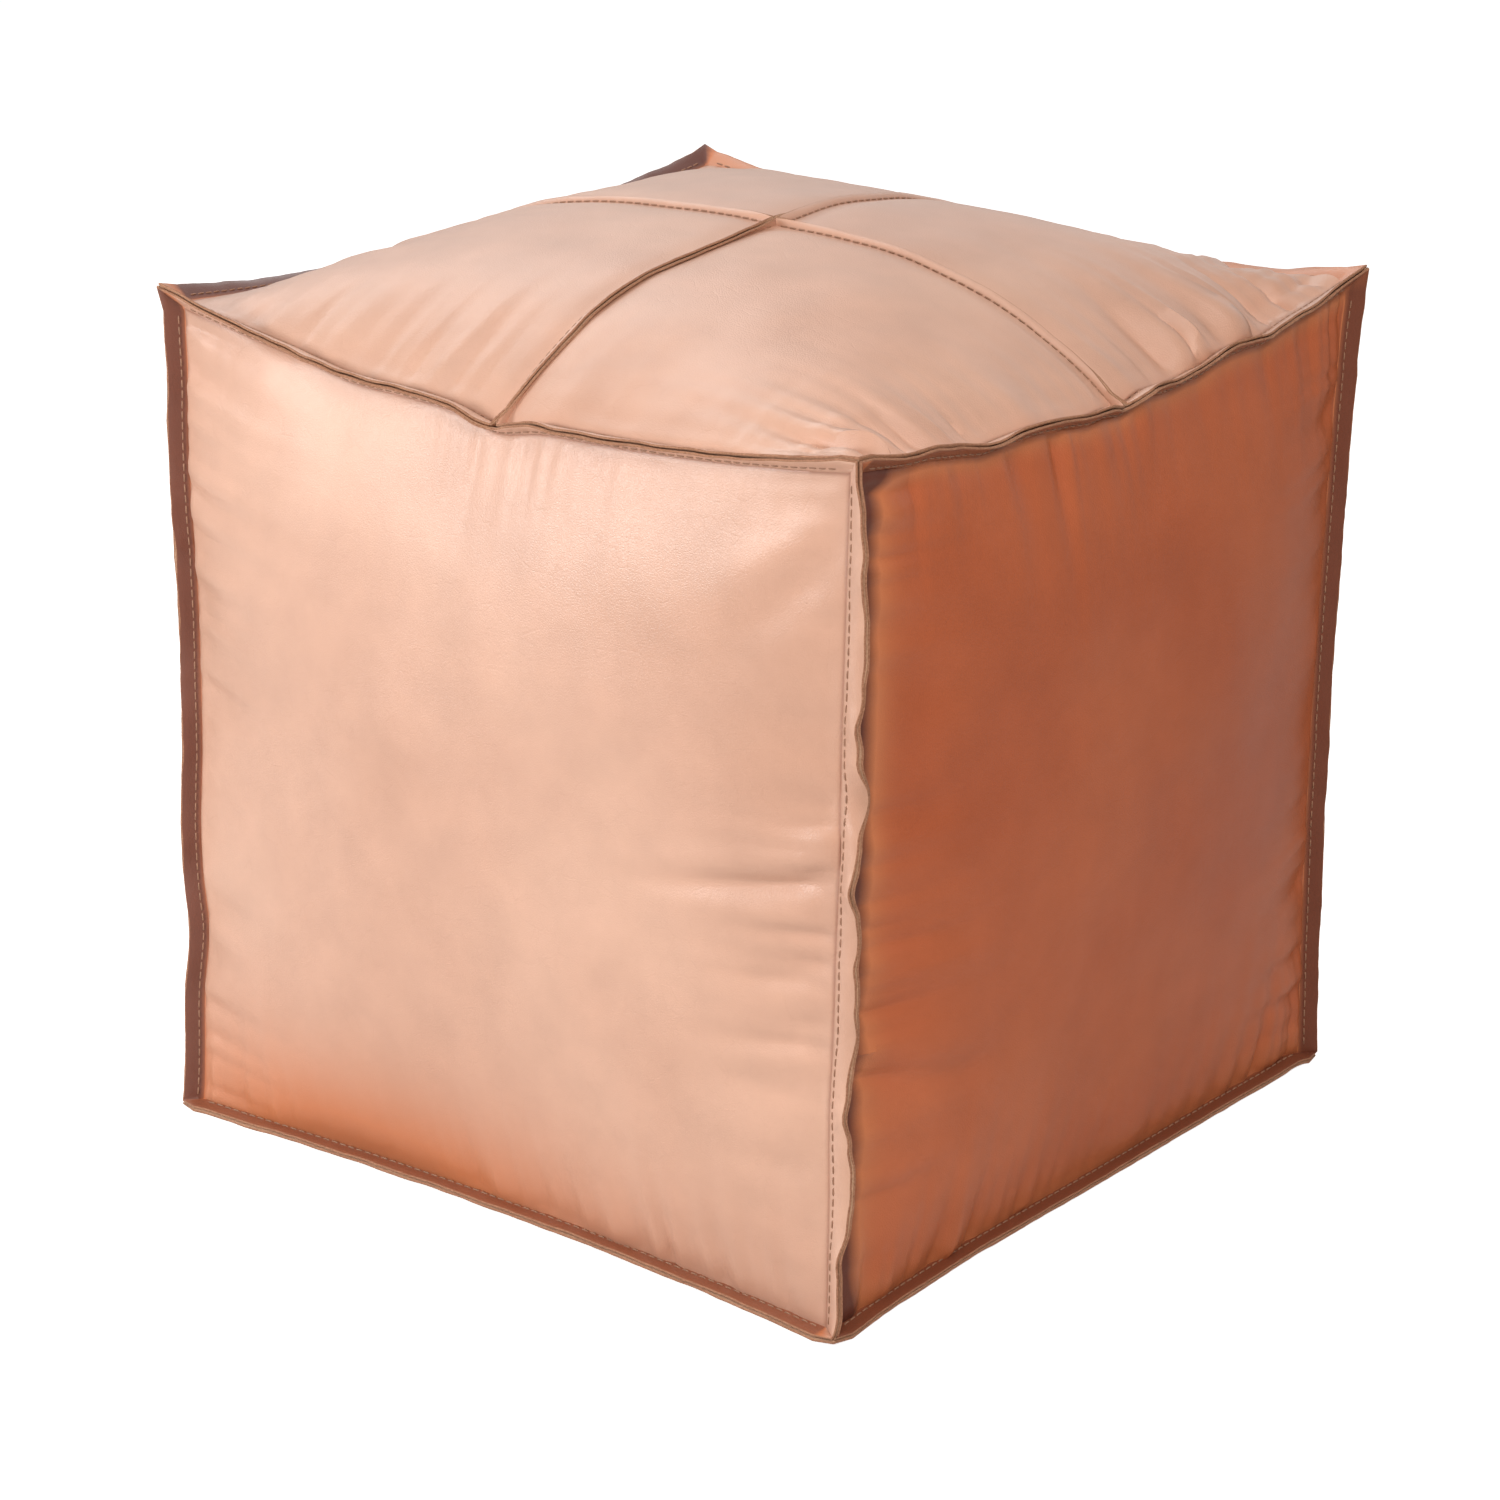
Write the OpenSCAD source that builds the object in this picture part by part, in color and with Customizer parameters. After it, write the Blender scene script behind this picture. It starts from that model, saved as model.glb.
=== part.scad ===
// Cube-shaped leather pouf: sewn leather panels with standing seam allowances, a zip in the base,
// a cotton inner bag and a loose filling. Millimetres, +Z up, front towards -Y,
// origin at the middle of the base on the floor.

/* [Cube] */
// Side of the cube, from corner seam to corner seam
cube_w = 415; // [350:5:480]
// Height of the top corners above the floor
cube_h = 431; // [360:1:500]
// Rise of the middle of the top above its corners
crown = 35; // [20:1:55]
// Sag of the middle of each top edge below its corners
edge_sag = 18; // [6:1:24]
// How far each corner seam draws in at half height
corner_draw = 3; // [0:1:14]
// How far each side swells past the plane of its corners
side_swell = 22; // [8:1:34]
// How far the middle of each base edge draws in
base_draw = 10; // [2:1:16]
// Roundness of the stuffed faces, lower is fuller towards the seams
fullness = 0.65; // [0.55:0.05:1]

/* [Leather and seams] */
// Thickness of the leather
leather_t = 2; // [1.8:0.1:2.6]
// Width of the seam allowance that stands out along every edge of the cube
seam_w = 12; // [9:1:16]
// Height of the seam allowance of the cross on the top
cross_w = 6; // [5:1:9]
// Gap between the two sewn layers of a seam
layer_gap = 0.2; // [0.1:0.1:0.6]
// Thickness of the sewing thread
thread_d = 0.9; // [0.6:0.1:1.2]
// Distance of the stitch row from the fold on the cube's edges
stitch_in = 4.5; // [4:0.5:6]
// Distance of the stitch row from the fold on the cross
cross_stitch_in = 3.2; // [2.8:0.2:4]

/* [Zip] */
// Length of the zip from stop to stop
zip_l = 320; // [200:10:330]
// Length of the window in the base past each end of the zip
window_end = 15; // [12:1:20]
// Length of each tape past the window
tape_end = 10; // [6:1:10]
// Width of the folded hem beside the window
hem_w = 18; // [16:1:24]
// Width of each tape
tape_w = 13; // [10:1:14]
// Thickness of the tape
tape_t = 0.8; // [0.5:0.1:1.2]
// Spacing of the teeth
tooth_pitch = 4; // [3:0.5:5]
// Thickness of the teeth
tooth_t = 2; // [1.6:0.1:2.4]
// Reach of a tooth from the edge of the tape
tooth_reach = 2.65; // [2.2:0.05:3]
// Width of the channel between the two rows of teeth, where the slider's post runs
channel_w = 1.5; // [1.2:0.1:2]
// Length of each stop
stop_l = 3; // [2:0.5:4]
// Length of the slider
slider_l = 12; // [10:1:14]
// Wall of the slider
slider_wall = 0.8; // [0.6:0.1:1]
// Length of the pull tab from its pivot
tab_l = 18; // [14:1:20]
// Width of the pull tab
tab_w = 5; // [4.4:0.2:6]
// Thickness of the pull tab
tab_t = 0.8; // [0.6:0.1:1]
// Running clearance of the slider and of the pull tab
run_gap = 0.3; // [0.2:0.05:0.4]
// Space between the slider and the leather on each side of it
window_gap = 1; // [0.8:0.1:2]

/* [Inner bag and filling] */
// Thickness of the cotton bag
bag_t = 0.8; // [0.5:0.1:1.5]
// Gap between the leather and the bag
bag_gap = 1; // [0.8:0.1:2]
// Gap between the base of the bag and the filling that rests on it
fill_gap = 0.4; // [0.3:0.1:1]
// Ease between the rest of the bag and the filling
fill_ease = 1; // [0.5:0.5:4]

/* [Detail] */
// Facets along each edge of the cube, an even number
facets = 10; // [8:2:14]

/* [Hidden] */

tan_leather = [0.83, 0.62, 0.49];
dark_thread = [0.42, 0.25, 0.16];
tape_brown = [0.33, 0.21, 0.14];
brass = [0.72, 0.57, 0.31];
calico = [0.90, 0.87, 0.79];
fibre = [0.95, 0.94, 0.91];

$fn = 48;
eps = 0.01;
half = cube_w / 2;
// Half of the gap between two sewn layers, taken by each layer
lie = layer_gap / 2;
// Level at which the side panels are sewn to the base
base_seam_z = leather_t + lie;
// The share of a seam allowance that goes along each axis where it stands at 45 degrees
slant = seam_w / sqrt(2);
// Share of an edge that a stitch row covers, short of the ears
row_share = 0.95;
// How far a thread lies off the leather
thread_gap = 0.2;

// Directions of the standing seams, all for the front panel or the front right quarter of the top
up_front = [0, -1, 1] / sqrt(2);
out_right = [1, -1, 0] / sqrt(2);
out_left = [-1, -1, 0] / sqrt(2);
out_front = [0, -1, 0];
up_right = [1, 0, 1] / sqrt(2);
up_back_face = [0, 1, 1] / sqrt(2);
up_left_face = [-1, 0, 1] / sqrt(2);

// Levels and half widths of the zip; it lies on the folded hem, in the window between the base halves
zip_z = 2 * leather_t + tape_t / 2;
row_in = channel_w / 2;
row_out = row_in + tooth_reach;
bead_w = 1;
bead_t = tape_t * 2;
slider_h = tooth_t / 2 + run_gap + slider_wall;
slider_out = row_out + run_gap + slider_wall;
window_half = slider_out + window_gap;
window_l = zip_l + 2 * window_end;
tape_l = window_l + 2 * tape_end;
rows_l = zip_l - 2 * stop_l;
slider_x = zip_l / 2 - stop_l - run_gap - slider_l / 2;
zip_row_y = window_half + tape_w / 3;

// The tab's pivot bar runs in a tunnel between the slider and its bail
bail_t = 0.6;
bail_w = 1.4;
bail_reach = 3;
pivot_z = zip_z - slider_h - run_gap / 2 - tab_t / 2;
bail_z = pivot_z - tab_t / 2 - run_gap / 2 - bail_t;
tab_hole_l = 5;
tab_hole_w = bail_w + 4 * run_gap;

// The bag lies on the base, rides over the hem and makes a tunnel over the slider
bag_low = leather_t + run_gap;
bag_over_hem = 2 * leather_t + tape_t + thread_d + run_gap;
bag_over_slider = zip_z + slider_h + run_gap;
hem_half = window_half + hem_w + bag_gap;
tunnel_half = slider_out + window_gap;
fill_inset = bag_gap + bag_t + fill_ease;

// ---- Shape of the stuffed cube ----

function fill_shape(a, b) = pow(max(0, (1 - a * a) * (1 - b * b)), fullness);

// A point of the front face: a runs across it and b up it, both from -1 to 1; inset shrinks the cube
function side_point(a, b, inset = 0) =
    let (reach = half - inset,
         low = base_seam_z + inset,
         high = cube_h - inset - edge_sag * (1 - a * a),
         drawn = corner_draw * (1 - b * b),
         tucked = base_draw * (1 - a * a) * (1 - b) / 2)
    [
        a * (reach - drawn),
        -(reach - drawn - tucked + (side_swell + corner_draw) * fill_shape(a, b)),
        low + (high - low) * (b + 1) / 2
    ];

// A point of the top face: a runs along X and b along Y, both from -1 to 1
function top_point(a, b, inset = 0) =
    [
        a * (half - inset),
        b * (half - inset),
        cube_h - inset - edge_sag * (2 - a * a - b * b) + (crown + 2 * edge_sag) * fill_shape(a, b)
    ];

function unit(v) = v / norm(v);
function turned(p, quarters) = quarters == 0 ? p : turned([-p.y, p.x, p.z], quarters - 1);

// The whole front face and the whole top face as grids of points, rows from the low or front edge
function step(i) = 2 * i / facets - 1;
function side_grid(inset = 0) =
    [for (i = [0:facets]) [for (j = [0:facets]) side_point(step(j), step(i), inset)]];
function top_grid(inset = 0) =
    [for (i = [0:facets]) [for (j = [0:facets]) top_point(step(j), step(i), inset)]];

// ---- Leather panels ----

function near(grid, i, j) =
    grid[max(0, min(len(grid) - 1, i))][max(0, min(len(grid[0]) - 1, j))];

function normal_at(grid, i, j) =
    unit(cross(near(grid, i, j + 1) - near(grid, i, j - 1), near(grid, i + 1, j) - near(grid, i - 1, j)));

// How far a corner moves for each unit of thickness when two or three planes move out together
function both(a, b) = (a + b) / (1 + a * b);
function all_three(a, b, c) = (cross(b, c) + cross(c, a) + cross(a, b)) / (a * cross(b, c));

// A panel's point with its turned-up edges: rows and columns -1 and last + 1 are the raw edges.
// edges lists the low, high, left and right edge, each as [direction, width, facing normal];
// ears lists the offsets of the four tips: low left, low right, high left, high right.
function raw_point(grid, edges, ears, i, j) =
    let (rows = len(grid) - 1, cols = len(grid[0]) - 1,
         row = i < 0 ? 0 : i > rows ? 1 : -1,
         col = j < 0 ? 2 : j > cols ? 3 : -1,
         root = near(grid, i, j))
    row >= 0 && col >= 0 ? root + ears[2 * row + col - 2] :
    row >= 0 ? root + edges[row][1] * edges[row][0] :
    col >= 0 ? root + edges[col][1] * edges[col][0] : root;

function shift_at(grid, edges, i, j) =
    let (rows = len(grid) - 1, cols = len(grid[0]) - 1,
         row = i <= 0 ? 0 : i >= rows ? 1 : -1,
         col = j <= 0 ? 2 : j >= cols ? 3 : -1,
         off_row = i < 0 || i > rows, off_col = j < 0 || j > cols,
         n = normal_at(grid, max(0, min(rows, i)), max(0, min(cols, j))))
    row >= 0 && col >= 0 && (off_row || off_col) ? both(edges[row][2], edges[col][2]) :
    row >= 0 && col >= 0 ? all_three(n, edges[row][2], edges[col][2]) :
    row >= 0 ? (off_row ? edges[row][2] : both(n, edges[row][2])) :
    col >= 0 ? (off_col ? edges[col][2] : both(n, edges[col][2])) : n;

// A closed sheet between two grids of points
module thick_sheet(outer, inner) {
    rows = len(outer);
    cols = len(outer[0]);
    side = rows * cols;
    points = [for (grid = [outer, inner]) for (row = grid) for (p = row) p];
    skin = [
        for (i = [0:rows - 2]) for (j = [0:cols - 2])
            let (k = i * cols + j)
            each [[k, k + cols, k + 1], [k + 1, k + cols, k + cols + 1]]
    ];
    lining = [for (t = skin) [t[0] + side, t[2] + side, t[1] + side]];
    rim = concat(
        [for (j = [0:cols - 1]) j],
        [for (i = [1:rows - 1]) i * cols + cols - 1],
        [for (j = [cols - 2:-1:0]) (rows - 1) * cols + j],
        [for (i = [rows - 2:-1:1]) i * cols]
    );
    wall = [
        for (k = [0:len(rim) - 1])
            let (a = rim[k], b = rim[(k + 1) % len(rim)])
            each [[a, b, a + side], [b, b + side, a + side]]
    ];
    polyhedron(points, concat(skin, lining, wall));
}

module leather_panel(grid, edges, ears) {
    rows = len(grid);
    cols = len(grid[0]);
    inner = [
        for (i = [-1:rows]) [
            for (j = [-1:cols]) raw_point(grid, edges, ears, i, j) + lie * shift_at(grid, edges, i, j)
        ]
    ];
    outer = [
        for (i = [-1:rows]) [
            for (j = [-1:cols]) inner[i + 1][j + 1] + leather_t * shift_at(grid, edges, i, j)
        ]
    ];
    thick_sheet(outer, inner);
}

// The front panel; the others are the same panel turned by quarters
module side_panel(quarters) {
    edges = [
        [out_front, seam_w, [0, 0, 1]],
        [up_front, seam_w, [0, -1, -1] / sqrt(2)],
        [out_left, seam_w, [1, -1, 0] / sqrt(2)],
        [out_right, seam_w, [-1, -1, 0] / sqrt(2)]
    ];
    ears = [[-slant, -slant, 0], [slant, -slant, 0], [-slant, -slant, slant], [slant, -slant, slant]];
    color(tan_leather) rotate([0, 0, 90 * quarters]) leather_panel(side_grid(), edges, ears);
}

// The front right quarter of the top; the others are the same quarter turned
module top_quarter(quarters) {
    steps = facets / 2;
    grid = [for (i = [0:steps]) [for (j = [0:steps]) top_point(j / steps, i / steps - 1)]];
    edges = [
        [up_front, seam_w, up_back_face],
        [[0, 0, 1], cross_w, [0, -1, 0]],
        [[0, 0, 1], cross_w, [1, 0, 0]],
        [up_right, seam_w, up_left_face]
    ];
    ears = [up_front * seam_w, [slant, -slant, slant], [0, 0, cross_w], up_right * seam_w];
    color(tan_leather) rotate([0, 0, 90 * quarters]) leather_panel(grid, edges, ears);
}

// Outline of the base: the drawn-in edges with their seam allowance and the four ears
function base_outline() = [
    for (k = [0:3]) each concat(
        [turned([-half - slant, -half - slant, 0], k)],
        [for (j = [1:facets - 1]) turned(side_point(step(j), -1) + seam_w * out_front, k)]
    )
];

// The front half of the base; quarters 0 is the front one and 2 the back one
module base_half(quarters) {
    hem_l = 2 * (half - base_draw - bag_gap - bag_t - run_gap);
    outline = [for (p = base_outline()) [p.x, p.y]];
    color(tan_leather) rotate([0, 0, 90 * quarters]) {
        difference() {
            linear_extrude(leather_t) polygon(outline);
            translate([-cube_w, -lie, -1]) cube([2 * cube_w, 2 * cube_w, leather_t + 2]);
            translate([-hem_l / 2, -lie - leather_t, -1]) cube([hem_l, cube_w, leather_t + 2]);
            window_cut(leather_t + window_half);
        }
        difference() {
            translate([-hem_l / 2, -window_half - hem_w, leather_t])
                cube([hem_l, window_half + hem_w - lie - leather_t, leather_t]);
            window_cut(leather_t + window_half);
        }
        fold(-window_l / 2, window_l, window_half);
        for (x = [-hem_l / 2, window_l / 2]) fold(x, (hem_l - window_l) / 2, lie);
    }
}

module window_cut(reach) {
    translate([-window_l / 2, -reach, -1]) cube([window_l, 2 * reach, 4 * leather_t]);
}

// The rounded fold of a hem, with its crest at the given distance from the middle
module fold(x, length, crest) {
    translate([x, -crest - leather_t, leather_t]) rotate([0, 90, 0]) cylinder(r = leather_t, h = length);
}

// ---- Threads ----

// A run of thread along a path, square in section and lying flat on the face with the given normal
module thread_run(path, face) {
    last = len(path) - 1;
    r = thread_d / 2;
    points = [
        for (i = [0:last])
            let (along = unit(path[min(last, i + 1)] - path[max(0, i - 1)]),
                 across = unit(cross(along, face)), stand = cross(across, along))
            each [for (s = [[-1, -1], [1, -1], [1, 1], [-1, 1]]) path[i] + r * (s[0] * across + s[1] * stand)]
    ];
    sides = [
        for (i = [0:last - 1]) for (k = [0:3])
            let (a = 4 * i + k, b = 4 * i + (k + 1) % 4)
            each [[a, a + 4, b], [b, a + 4, b + 4]]
    ];
    end = 4 * last;
    caps = [[0, 1, 2], [0, 2, 3], [end, end + 2, end + 1], [end, end + 3, end + 2]];
    polyhedron(points, concat(sides, caps));
}

// The middle of a thread that lies on a seam's outer layer
function on_layer(root, direction, out, face) =
    root + out * direction + (lie + leather_t + thread_gap + thread_d / 2) * face;

// Steps along an edge from ear to ear, and along half of it, which stop short of the ears and the cross
function row_step(i) = max(-row_share, min(row_share, step(i)));
function half_row_step(i) =
    max((leather_t + thread_d + seam_w / 4) / half, min(row_share, 2 * i / facets));

// The same run of stitching on all four edges of its kind
module edge_rows(roots, direction, out, face) {
    color(dark_thread) for (k = [0:3]) rotate([0, 0, 90 * k])
        thread_run([for (root = roots) on_layer(root, direction, out, face)], face);
}

module thread_top_edges() {
    roots = [for (i = [0:facets]) side_point(row_step(i), 1)];
    edge_rows(roots, up_front, stitch_in, [0, -1, -1] / sqrt(2));
    for (side = [-1, 1]) {
        half_roots = [for (i = [0:facets / 2]) side_point(side * half_row_step(i), 1)];
        edge_rows(half_roots, up_front, stitch_in, up_back_face);
    }
}

module thread_corners() {
    roots = [for (i = [0:facets]) side_point(1, row_step(i))];
    for (face = [[-1, -1, 0] / sqrt(2), [1, 1, 0] / sqrt(2)]) edge_rows(roots, out_right, stitch_in, face);
}

module thread_base_edges() {
    roots = [for (i = [0:facets]) side_point(row_step(i), -1)];
    edge_rows(roots, out_front, stitch_in, [0, 0, 1]);
}

module thread_top_cross() {
    roots = [for (i = [0:facets / 2]) top_point(0, -half_row_step(i))];
    for (face = [[-1, 0, 0], [1, 0, 0]]) edge_rows(roots, [0, 0, 1], cross_stitch_in, face);
}

// One closed loop of stitching on the tapes
module thread_zip() {
    loop = [window_l + tape_end, 2 * zip_row_y];
    color(dark_thread) translate([0, 0, 2 * leather_t + tape_t]) linear_extrude(thread_d) difference() {
        square(loop + [thread_d, thread_d], center = true);
        square(loop - [thread_d, thread_d], center = true);
    }
}

// ---- Zip ----

module zip_tape(quarters) {
    color(tape_brown) rotate([0, 0, 90 * quarters])
        translate([-tape_l / 2, -row_out - tape_w, 2 * leather_t]) cube([tape_l, tape_w, tape_t]);
}

// A row of moulded teeth on the bead that closes over the edge of the tape
module zip_teeth(quarters) {
    count = floor(rows_l / tooth_pitch);
    color(brass) rotate([0, 0, 90 * quarters]) translate([0, 0, zip_z]) {
        translate([-rows_l / 2, -row_out, -bead_t / 2]) cube([rows_l, bead_w, bead_t]);
        for (i = [0:count - 1])
            translate([(i + 0.5 - count / 2) * tooth_pitch - tooth_pitch / 4, -row_out, -tooth_t / 2])
                cube([tooth_pitch / 2, tooth_reach, tooth_t]);
    }
}

module zip_bottom_stop() {
    color(brass) translate([-zip_l / 2, -row_out, zip_z - slider_h])
        cube([stop_l, 2 * row_out, 2 * slider_h]);
}

module zip_top_stops() {
    color(brass) for (k = [0, 1]) mirror([0, k, 0])
        translate([zip_l / 2 - stop_l, -row_out, zip_z - slider_h]) cube([stop_l, tooth_reach, 2 * slider_h]);
}

// Outline of a slider plate, with the nose towards +X
module slider_plate() {
    cut = slider_out / 3;
    linear_extrude(slider_wall) polygon([
        [-slider_l / 2, -slider_out + cut], [-slider_l / 2 + cut, -slider_out],
        [slider_l / 2 - cut, -slider_out], [slider_l / 2, -slider_out + cut],
        [slider_l / 2, slider_out - cut], [slider_l / 2 - cut, slider_out],
        [-slider_l / 2 + cut, slider_out], [-slider_l / 2, slider_out - cut]
    ]);
}

module zip_slider() {
    cut = slider_out / 3;
    rim_l = slider_l - 2 * cut;
    rim_h = slider_h - tape_t / 2 - run_gap;
    post_l = slider_l / 4;
    post_w = channel_w - 2 * run_gap;
    leg_h = zip_z - slider_h - bail_z + slider_wall / 2;
    color(brass) translate([slider_x, 0, 0]) {
        for (z = [zip_z - slider_h, zip_z + slider_h - slider_wall]) translate([0, 0, z]) slider_plate();
        for (y = [-slider_out, slider_out - slider_wall]) for (z = [-slider_h, slider_h - rim_h])
            translate([-rim_l / 2, y, zip_z + z]) cube([rim_l, slider_wall, rim_h]);
        translate([slider_l / 2 - post_l, -post_w / 2, zip_z - slider_h + eps])
            cube([post_l, post_w, 2 * slider_h - 2 * eps]);
        translate([-bail_reach, -bail_w / 2, bail_z]) cube([2 * bail_reach, bail_w, bail_t]);
        for (x = [-bail_reach, bail_reach - bail_t])
            translate([x, -bail_w / 2, bail_z]) cube([bail_t, bail_w, leg_h]);
    }
}

// The tab lies flat under the slider, with its pivot bar in the bail
module zip_pull_tab() {
    bar = tab_t / 2;
    color(brass) translate([slider_x, 0, pivot_z]) {
        rotate([90, 0, 0]) cylinder(r = bar, h = tab_w, center = true);
        difference() {
            translate([0, 0, -bar]) linear_extrude(tab_t) union() {
                translate([-tab_l + tab_w / 2, -tab_w / 2]) square([tab_l - tab_w / 2, tab_w]);
                translate([-tab_l + tab_w / 2, 0]) circle(d = tab_w);
            }
            translate([-bar - tab_hole_l, -tab_hole_w / 2, -tab_t]) cube([tab_hole_l, tab_hole_w, 2 * tab_t]);
        }
    }
}

// ---- Inner bag and filling ----

module bag_side(quarters) {
    color(calico) rotate([0, 0, 90 * quarters]) thick_sheet(side_grid(bag_gap), side_grid(bag_gap + bag_t));
}

module bag_top() {
    color(calico) thick_sheet(top_grid(bag_gap), top_grid(bag_gap + bag_t));
}

// Section of the bag's base across the zip, lifted off the base by the given height
function base_section(lift) =
    let (right = [
        [cube_w, bag_low + lift], [hem_half + lift, bag_low + lift], [hem_half + lift, bag_over_hem + lift],
        [tunnel_half + lift, bag_over_hem + lift], [tunnel_half + lift, bag_over_slider + lift]
    ])
    concat(right, [for (i = [len(right) - 1:-1:0]) [-right[i][0], right[i][1]]]);

module along_zip(length) {
    rotate([90, 0, 90]) linear_extrude(length, center = true) children();
}

module bag_base() {
    section = concat(base_section(0), [for (i = [9:-1:0]) base_section(bag_t)[i]]);
    outline = [for (p = ring(-1, bag_gap + bag_t + layer_gap)) [p.x, p.y]];
    color(calico) intersection() {
        along_zip(2 * cube_w) polygon(section);
        linear_extrude(cube_h / 2) polygon(outline);
    }
}

// One ring of points round the sides, at the height b
function ring(b, inset) = [for (k = [0:3]) for (j = [0:facets - 1]) turned(side_point(step(j), b, inset), k)];

// One closed solid: rings up the sides, then the top as a grid whose rim is the last ring
module filling() {
    around = 4 * facets;
    rim = facets * around;
    inside = rim + around;
    low_middle = inside + (facets - 1) * (facets - 1);
    points = concat(
        [for (i = [0:facets]) each ring(step(i), fill_inset)],
        [for (i = [1:facets - 1]) for (j = [1:facets - 1]) top_point(step(j), step(i), fill_inset)],
        [[0, 0, base_seam_z + fill_inset]]
    );
    function top_index(i, j) =
        i == 0 ? rim + j :
        j == facets ? rim + facets + i :
        i == facets ? rim + 3 * facets - j :
        j == 0 ? rim + around - i : inside + (i - 1) * (facets - 1) + j - 1;
    walls = [
        for (i = [0:facets - 1]) for (k = [0:around - 1])
            let (a = i * around + k, b = i * around + (k + 1) % around)
            each [[a, a + around, b], [b, a + around, b + around]]
    ];
    lid = [
        for (i = [0:facets - 1]) for (j = [0:facets - 1])
            each [
                [top_index(i, j), top_index(i + 1, j), top_index(i, j + 1)],
                [top_index(i, j + 1), top_index(i + 1, j), top_index(i + 1, j + 1)]
            ]
    ];
    floor_faces = [for (k = [0:around - 1]) [low_middle, k, (k + 1) % around]];
    color(fibre) difference() {
        polyhedron(points, concat(walls, lid, floor_faces));
        along_zip(2 * cube_w)
            polygon(concat(base_section(bag_t + fill_gap), [[-cube_w, -1], [cube_w, -1]]));
    }
}

top_quarter(3);  // top_quarter_front_left
top_quarter(0);  // top_quarter_front_right
top_quarter(1);  // top_quarter_back_right
top_quarter(2);  // top_quarter_back_left
side_panel(0);  // side_panel_front
side_panel(1);  // side_panel_right
side_panel(2);  // side_panel_back
side_panel(3);  // side_panel_left
base_half(0);  // base_half_front
base_half(2);  // base_half_back
thread_top_cross();
thread_top_edges();
thread_corners();
thread_base_edges();
thread_zip();
zip_tape(0);  // zip_tape_front
zip_tape(2);  // zip_tape_back
zip_teeth(0);  // zip_teeth_front
zip_teeth(2);  // zip_teeth_back
zip_slider();
zip_pull_tab();
zip_top_stops();
zip_bottom_stop();
bag_top();
bag_base();
bag_side(0);  // bag_side_front
bag_side(1);  // bag_side_right
bag_side(2);  // bag_side_back
bag_side(3);  // bag_side_left
filling();
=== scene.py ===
import math
import bpy
import numpy as np
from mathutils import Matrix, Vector, noise


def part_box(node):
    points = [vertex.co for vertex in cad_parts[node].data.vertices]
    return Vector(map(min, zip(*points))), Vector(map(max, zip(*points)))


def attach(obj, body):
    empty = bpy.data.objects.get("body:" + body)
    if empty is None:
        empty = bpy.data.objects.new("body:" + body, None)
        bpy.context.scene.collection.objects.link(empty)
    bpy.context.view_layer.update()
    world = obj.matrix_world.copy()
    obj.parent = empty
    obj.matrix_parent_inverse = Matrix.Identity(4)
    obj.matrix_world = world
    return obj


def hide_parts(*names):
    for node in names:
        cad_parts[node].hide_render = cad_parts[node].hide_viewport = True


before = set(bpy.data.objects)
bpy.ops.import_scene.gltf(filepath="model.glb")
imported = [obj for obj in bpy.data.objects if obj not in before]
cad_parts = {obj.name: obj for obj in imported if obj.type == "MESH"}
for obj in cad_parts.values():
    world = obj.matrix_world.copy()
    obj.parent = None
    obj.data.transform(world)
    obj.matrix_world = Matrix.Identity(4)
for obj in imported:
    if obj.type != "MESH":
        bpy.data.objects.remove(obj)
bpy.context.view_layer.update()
mm = 0.001
print("frame loaded")

# Shape of the stuffed cover

cover = {
    "cells": 144,            # cells along each edge of a face, a multiple of twelve
    "crowding": 0.3,         # how much closer the cells lie beside the seams
    "crown": 37 * mm,        # rise of the top above its corners
    "edgeSag": 18 * mm,      # sag of the middle of each top edge
    "cornerDraw": 3 * mm,    # how far the upright seams draw in
    "sideSwell": 22 * mm,    # how far the sides swell
    "baseDraw": 10 * mm,     # how far the base edges draw in
    "fullness": 0.65,        # lower is fuller beside the seams
    "bagGap": 1 * mm,
    "layerGap": 0.2 * mm,    # between the two sewn layers of a seam
    "fill": 0.85,            # how tightly the panels are filled, up to 1
}
cells = cover["cells"]
halfCells = cells // 2
lie = cover["layerGap"] / 2
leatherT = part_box("base_half_front")[1].z / 2
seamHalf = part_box("bag_top")[1].x + cover["bagGap"]
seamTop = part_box("bag_side_front")[1].z + cover["bagGap"]
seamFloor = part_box("side_panel_front")[0].z - lie
axisX, axisY, axisZ = np.eye(3)
topFace, baseFace = 4, 5


def turned(points, quarters):
    points = np.array(points, float)
    for _ in range(quarters % 4):
        points = np.stack([-points[..., 1], points[..., 0], points[..., 2]], -1)
    return points


outward = [turned(-axisY, k) for k in range(4)] + [axisZ, -axisZ]


def unit(vectors):
    return vectors / np.maximum(np.linalg.norm(vectors, axis=-1, keepdims=True), 1e-12)


def crowded(t):
    return t - cover["crowding"] / math.tau * np.sin(math.tau * t)


def bulge(a, b):
    return np.maximum(0, (1 - a * a) * (1 - b * b)) ** cover["fullness"]


def sidePoint(a, b):
    high = seamTop - cover["edgeSag"] * (1 - a * a)
    drawn = cover["cornerDraw"] * (1 - b * b)
    tucked = cover["baseDraw"] * (1 - a * a) * (1 - b) / 2
    swell = (cover["sideSwell"] + cover["cornerDraw"]) * bulge(a, b)
    return np.stack([
        a * (seamHalf - drawn),
        -(seamHalf - drawn - tucked + swell),
        seamFloor + (high - seamFloor) * (b + 1) / 2,
    ], -1)


def topPoint(a, b):
    rise = (cover["crown"] + 2 * cover["edgeSag"]) * bulge(a, b)
    return np.stack([
        a * seamHalf, b * seamHalf, seamTop - cover["edgeSag"] * (2 - a * a - b * b) + rise,
    ], -1)


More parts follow.
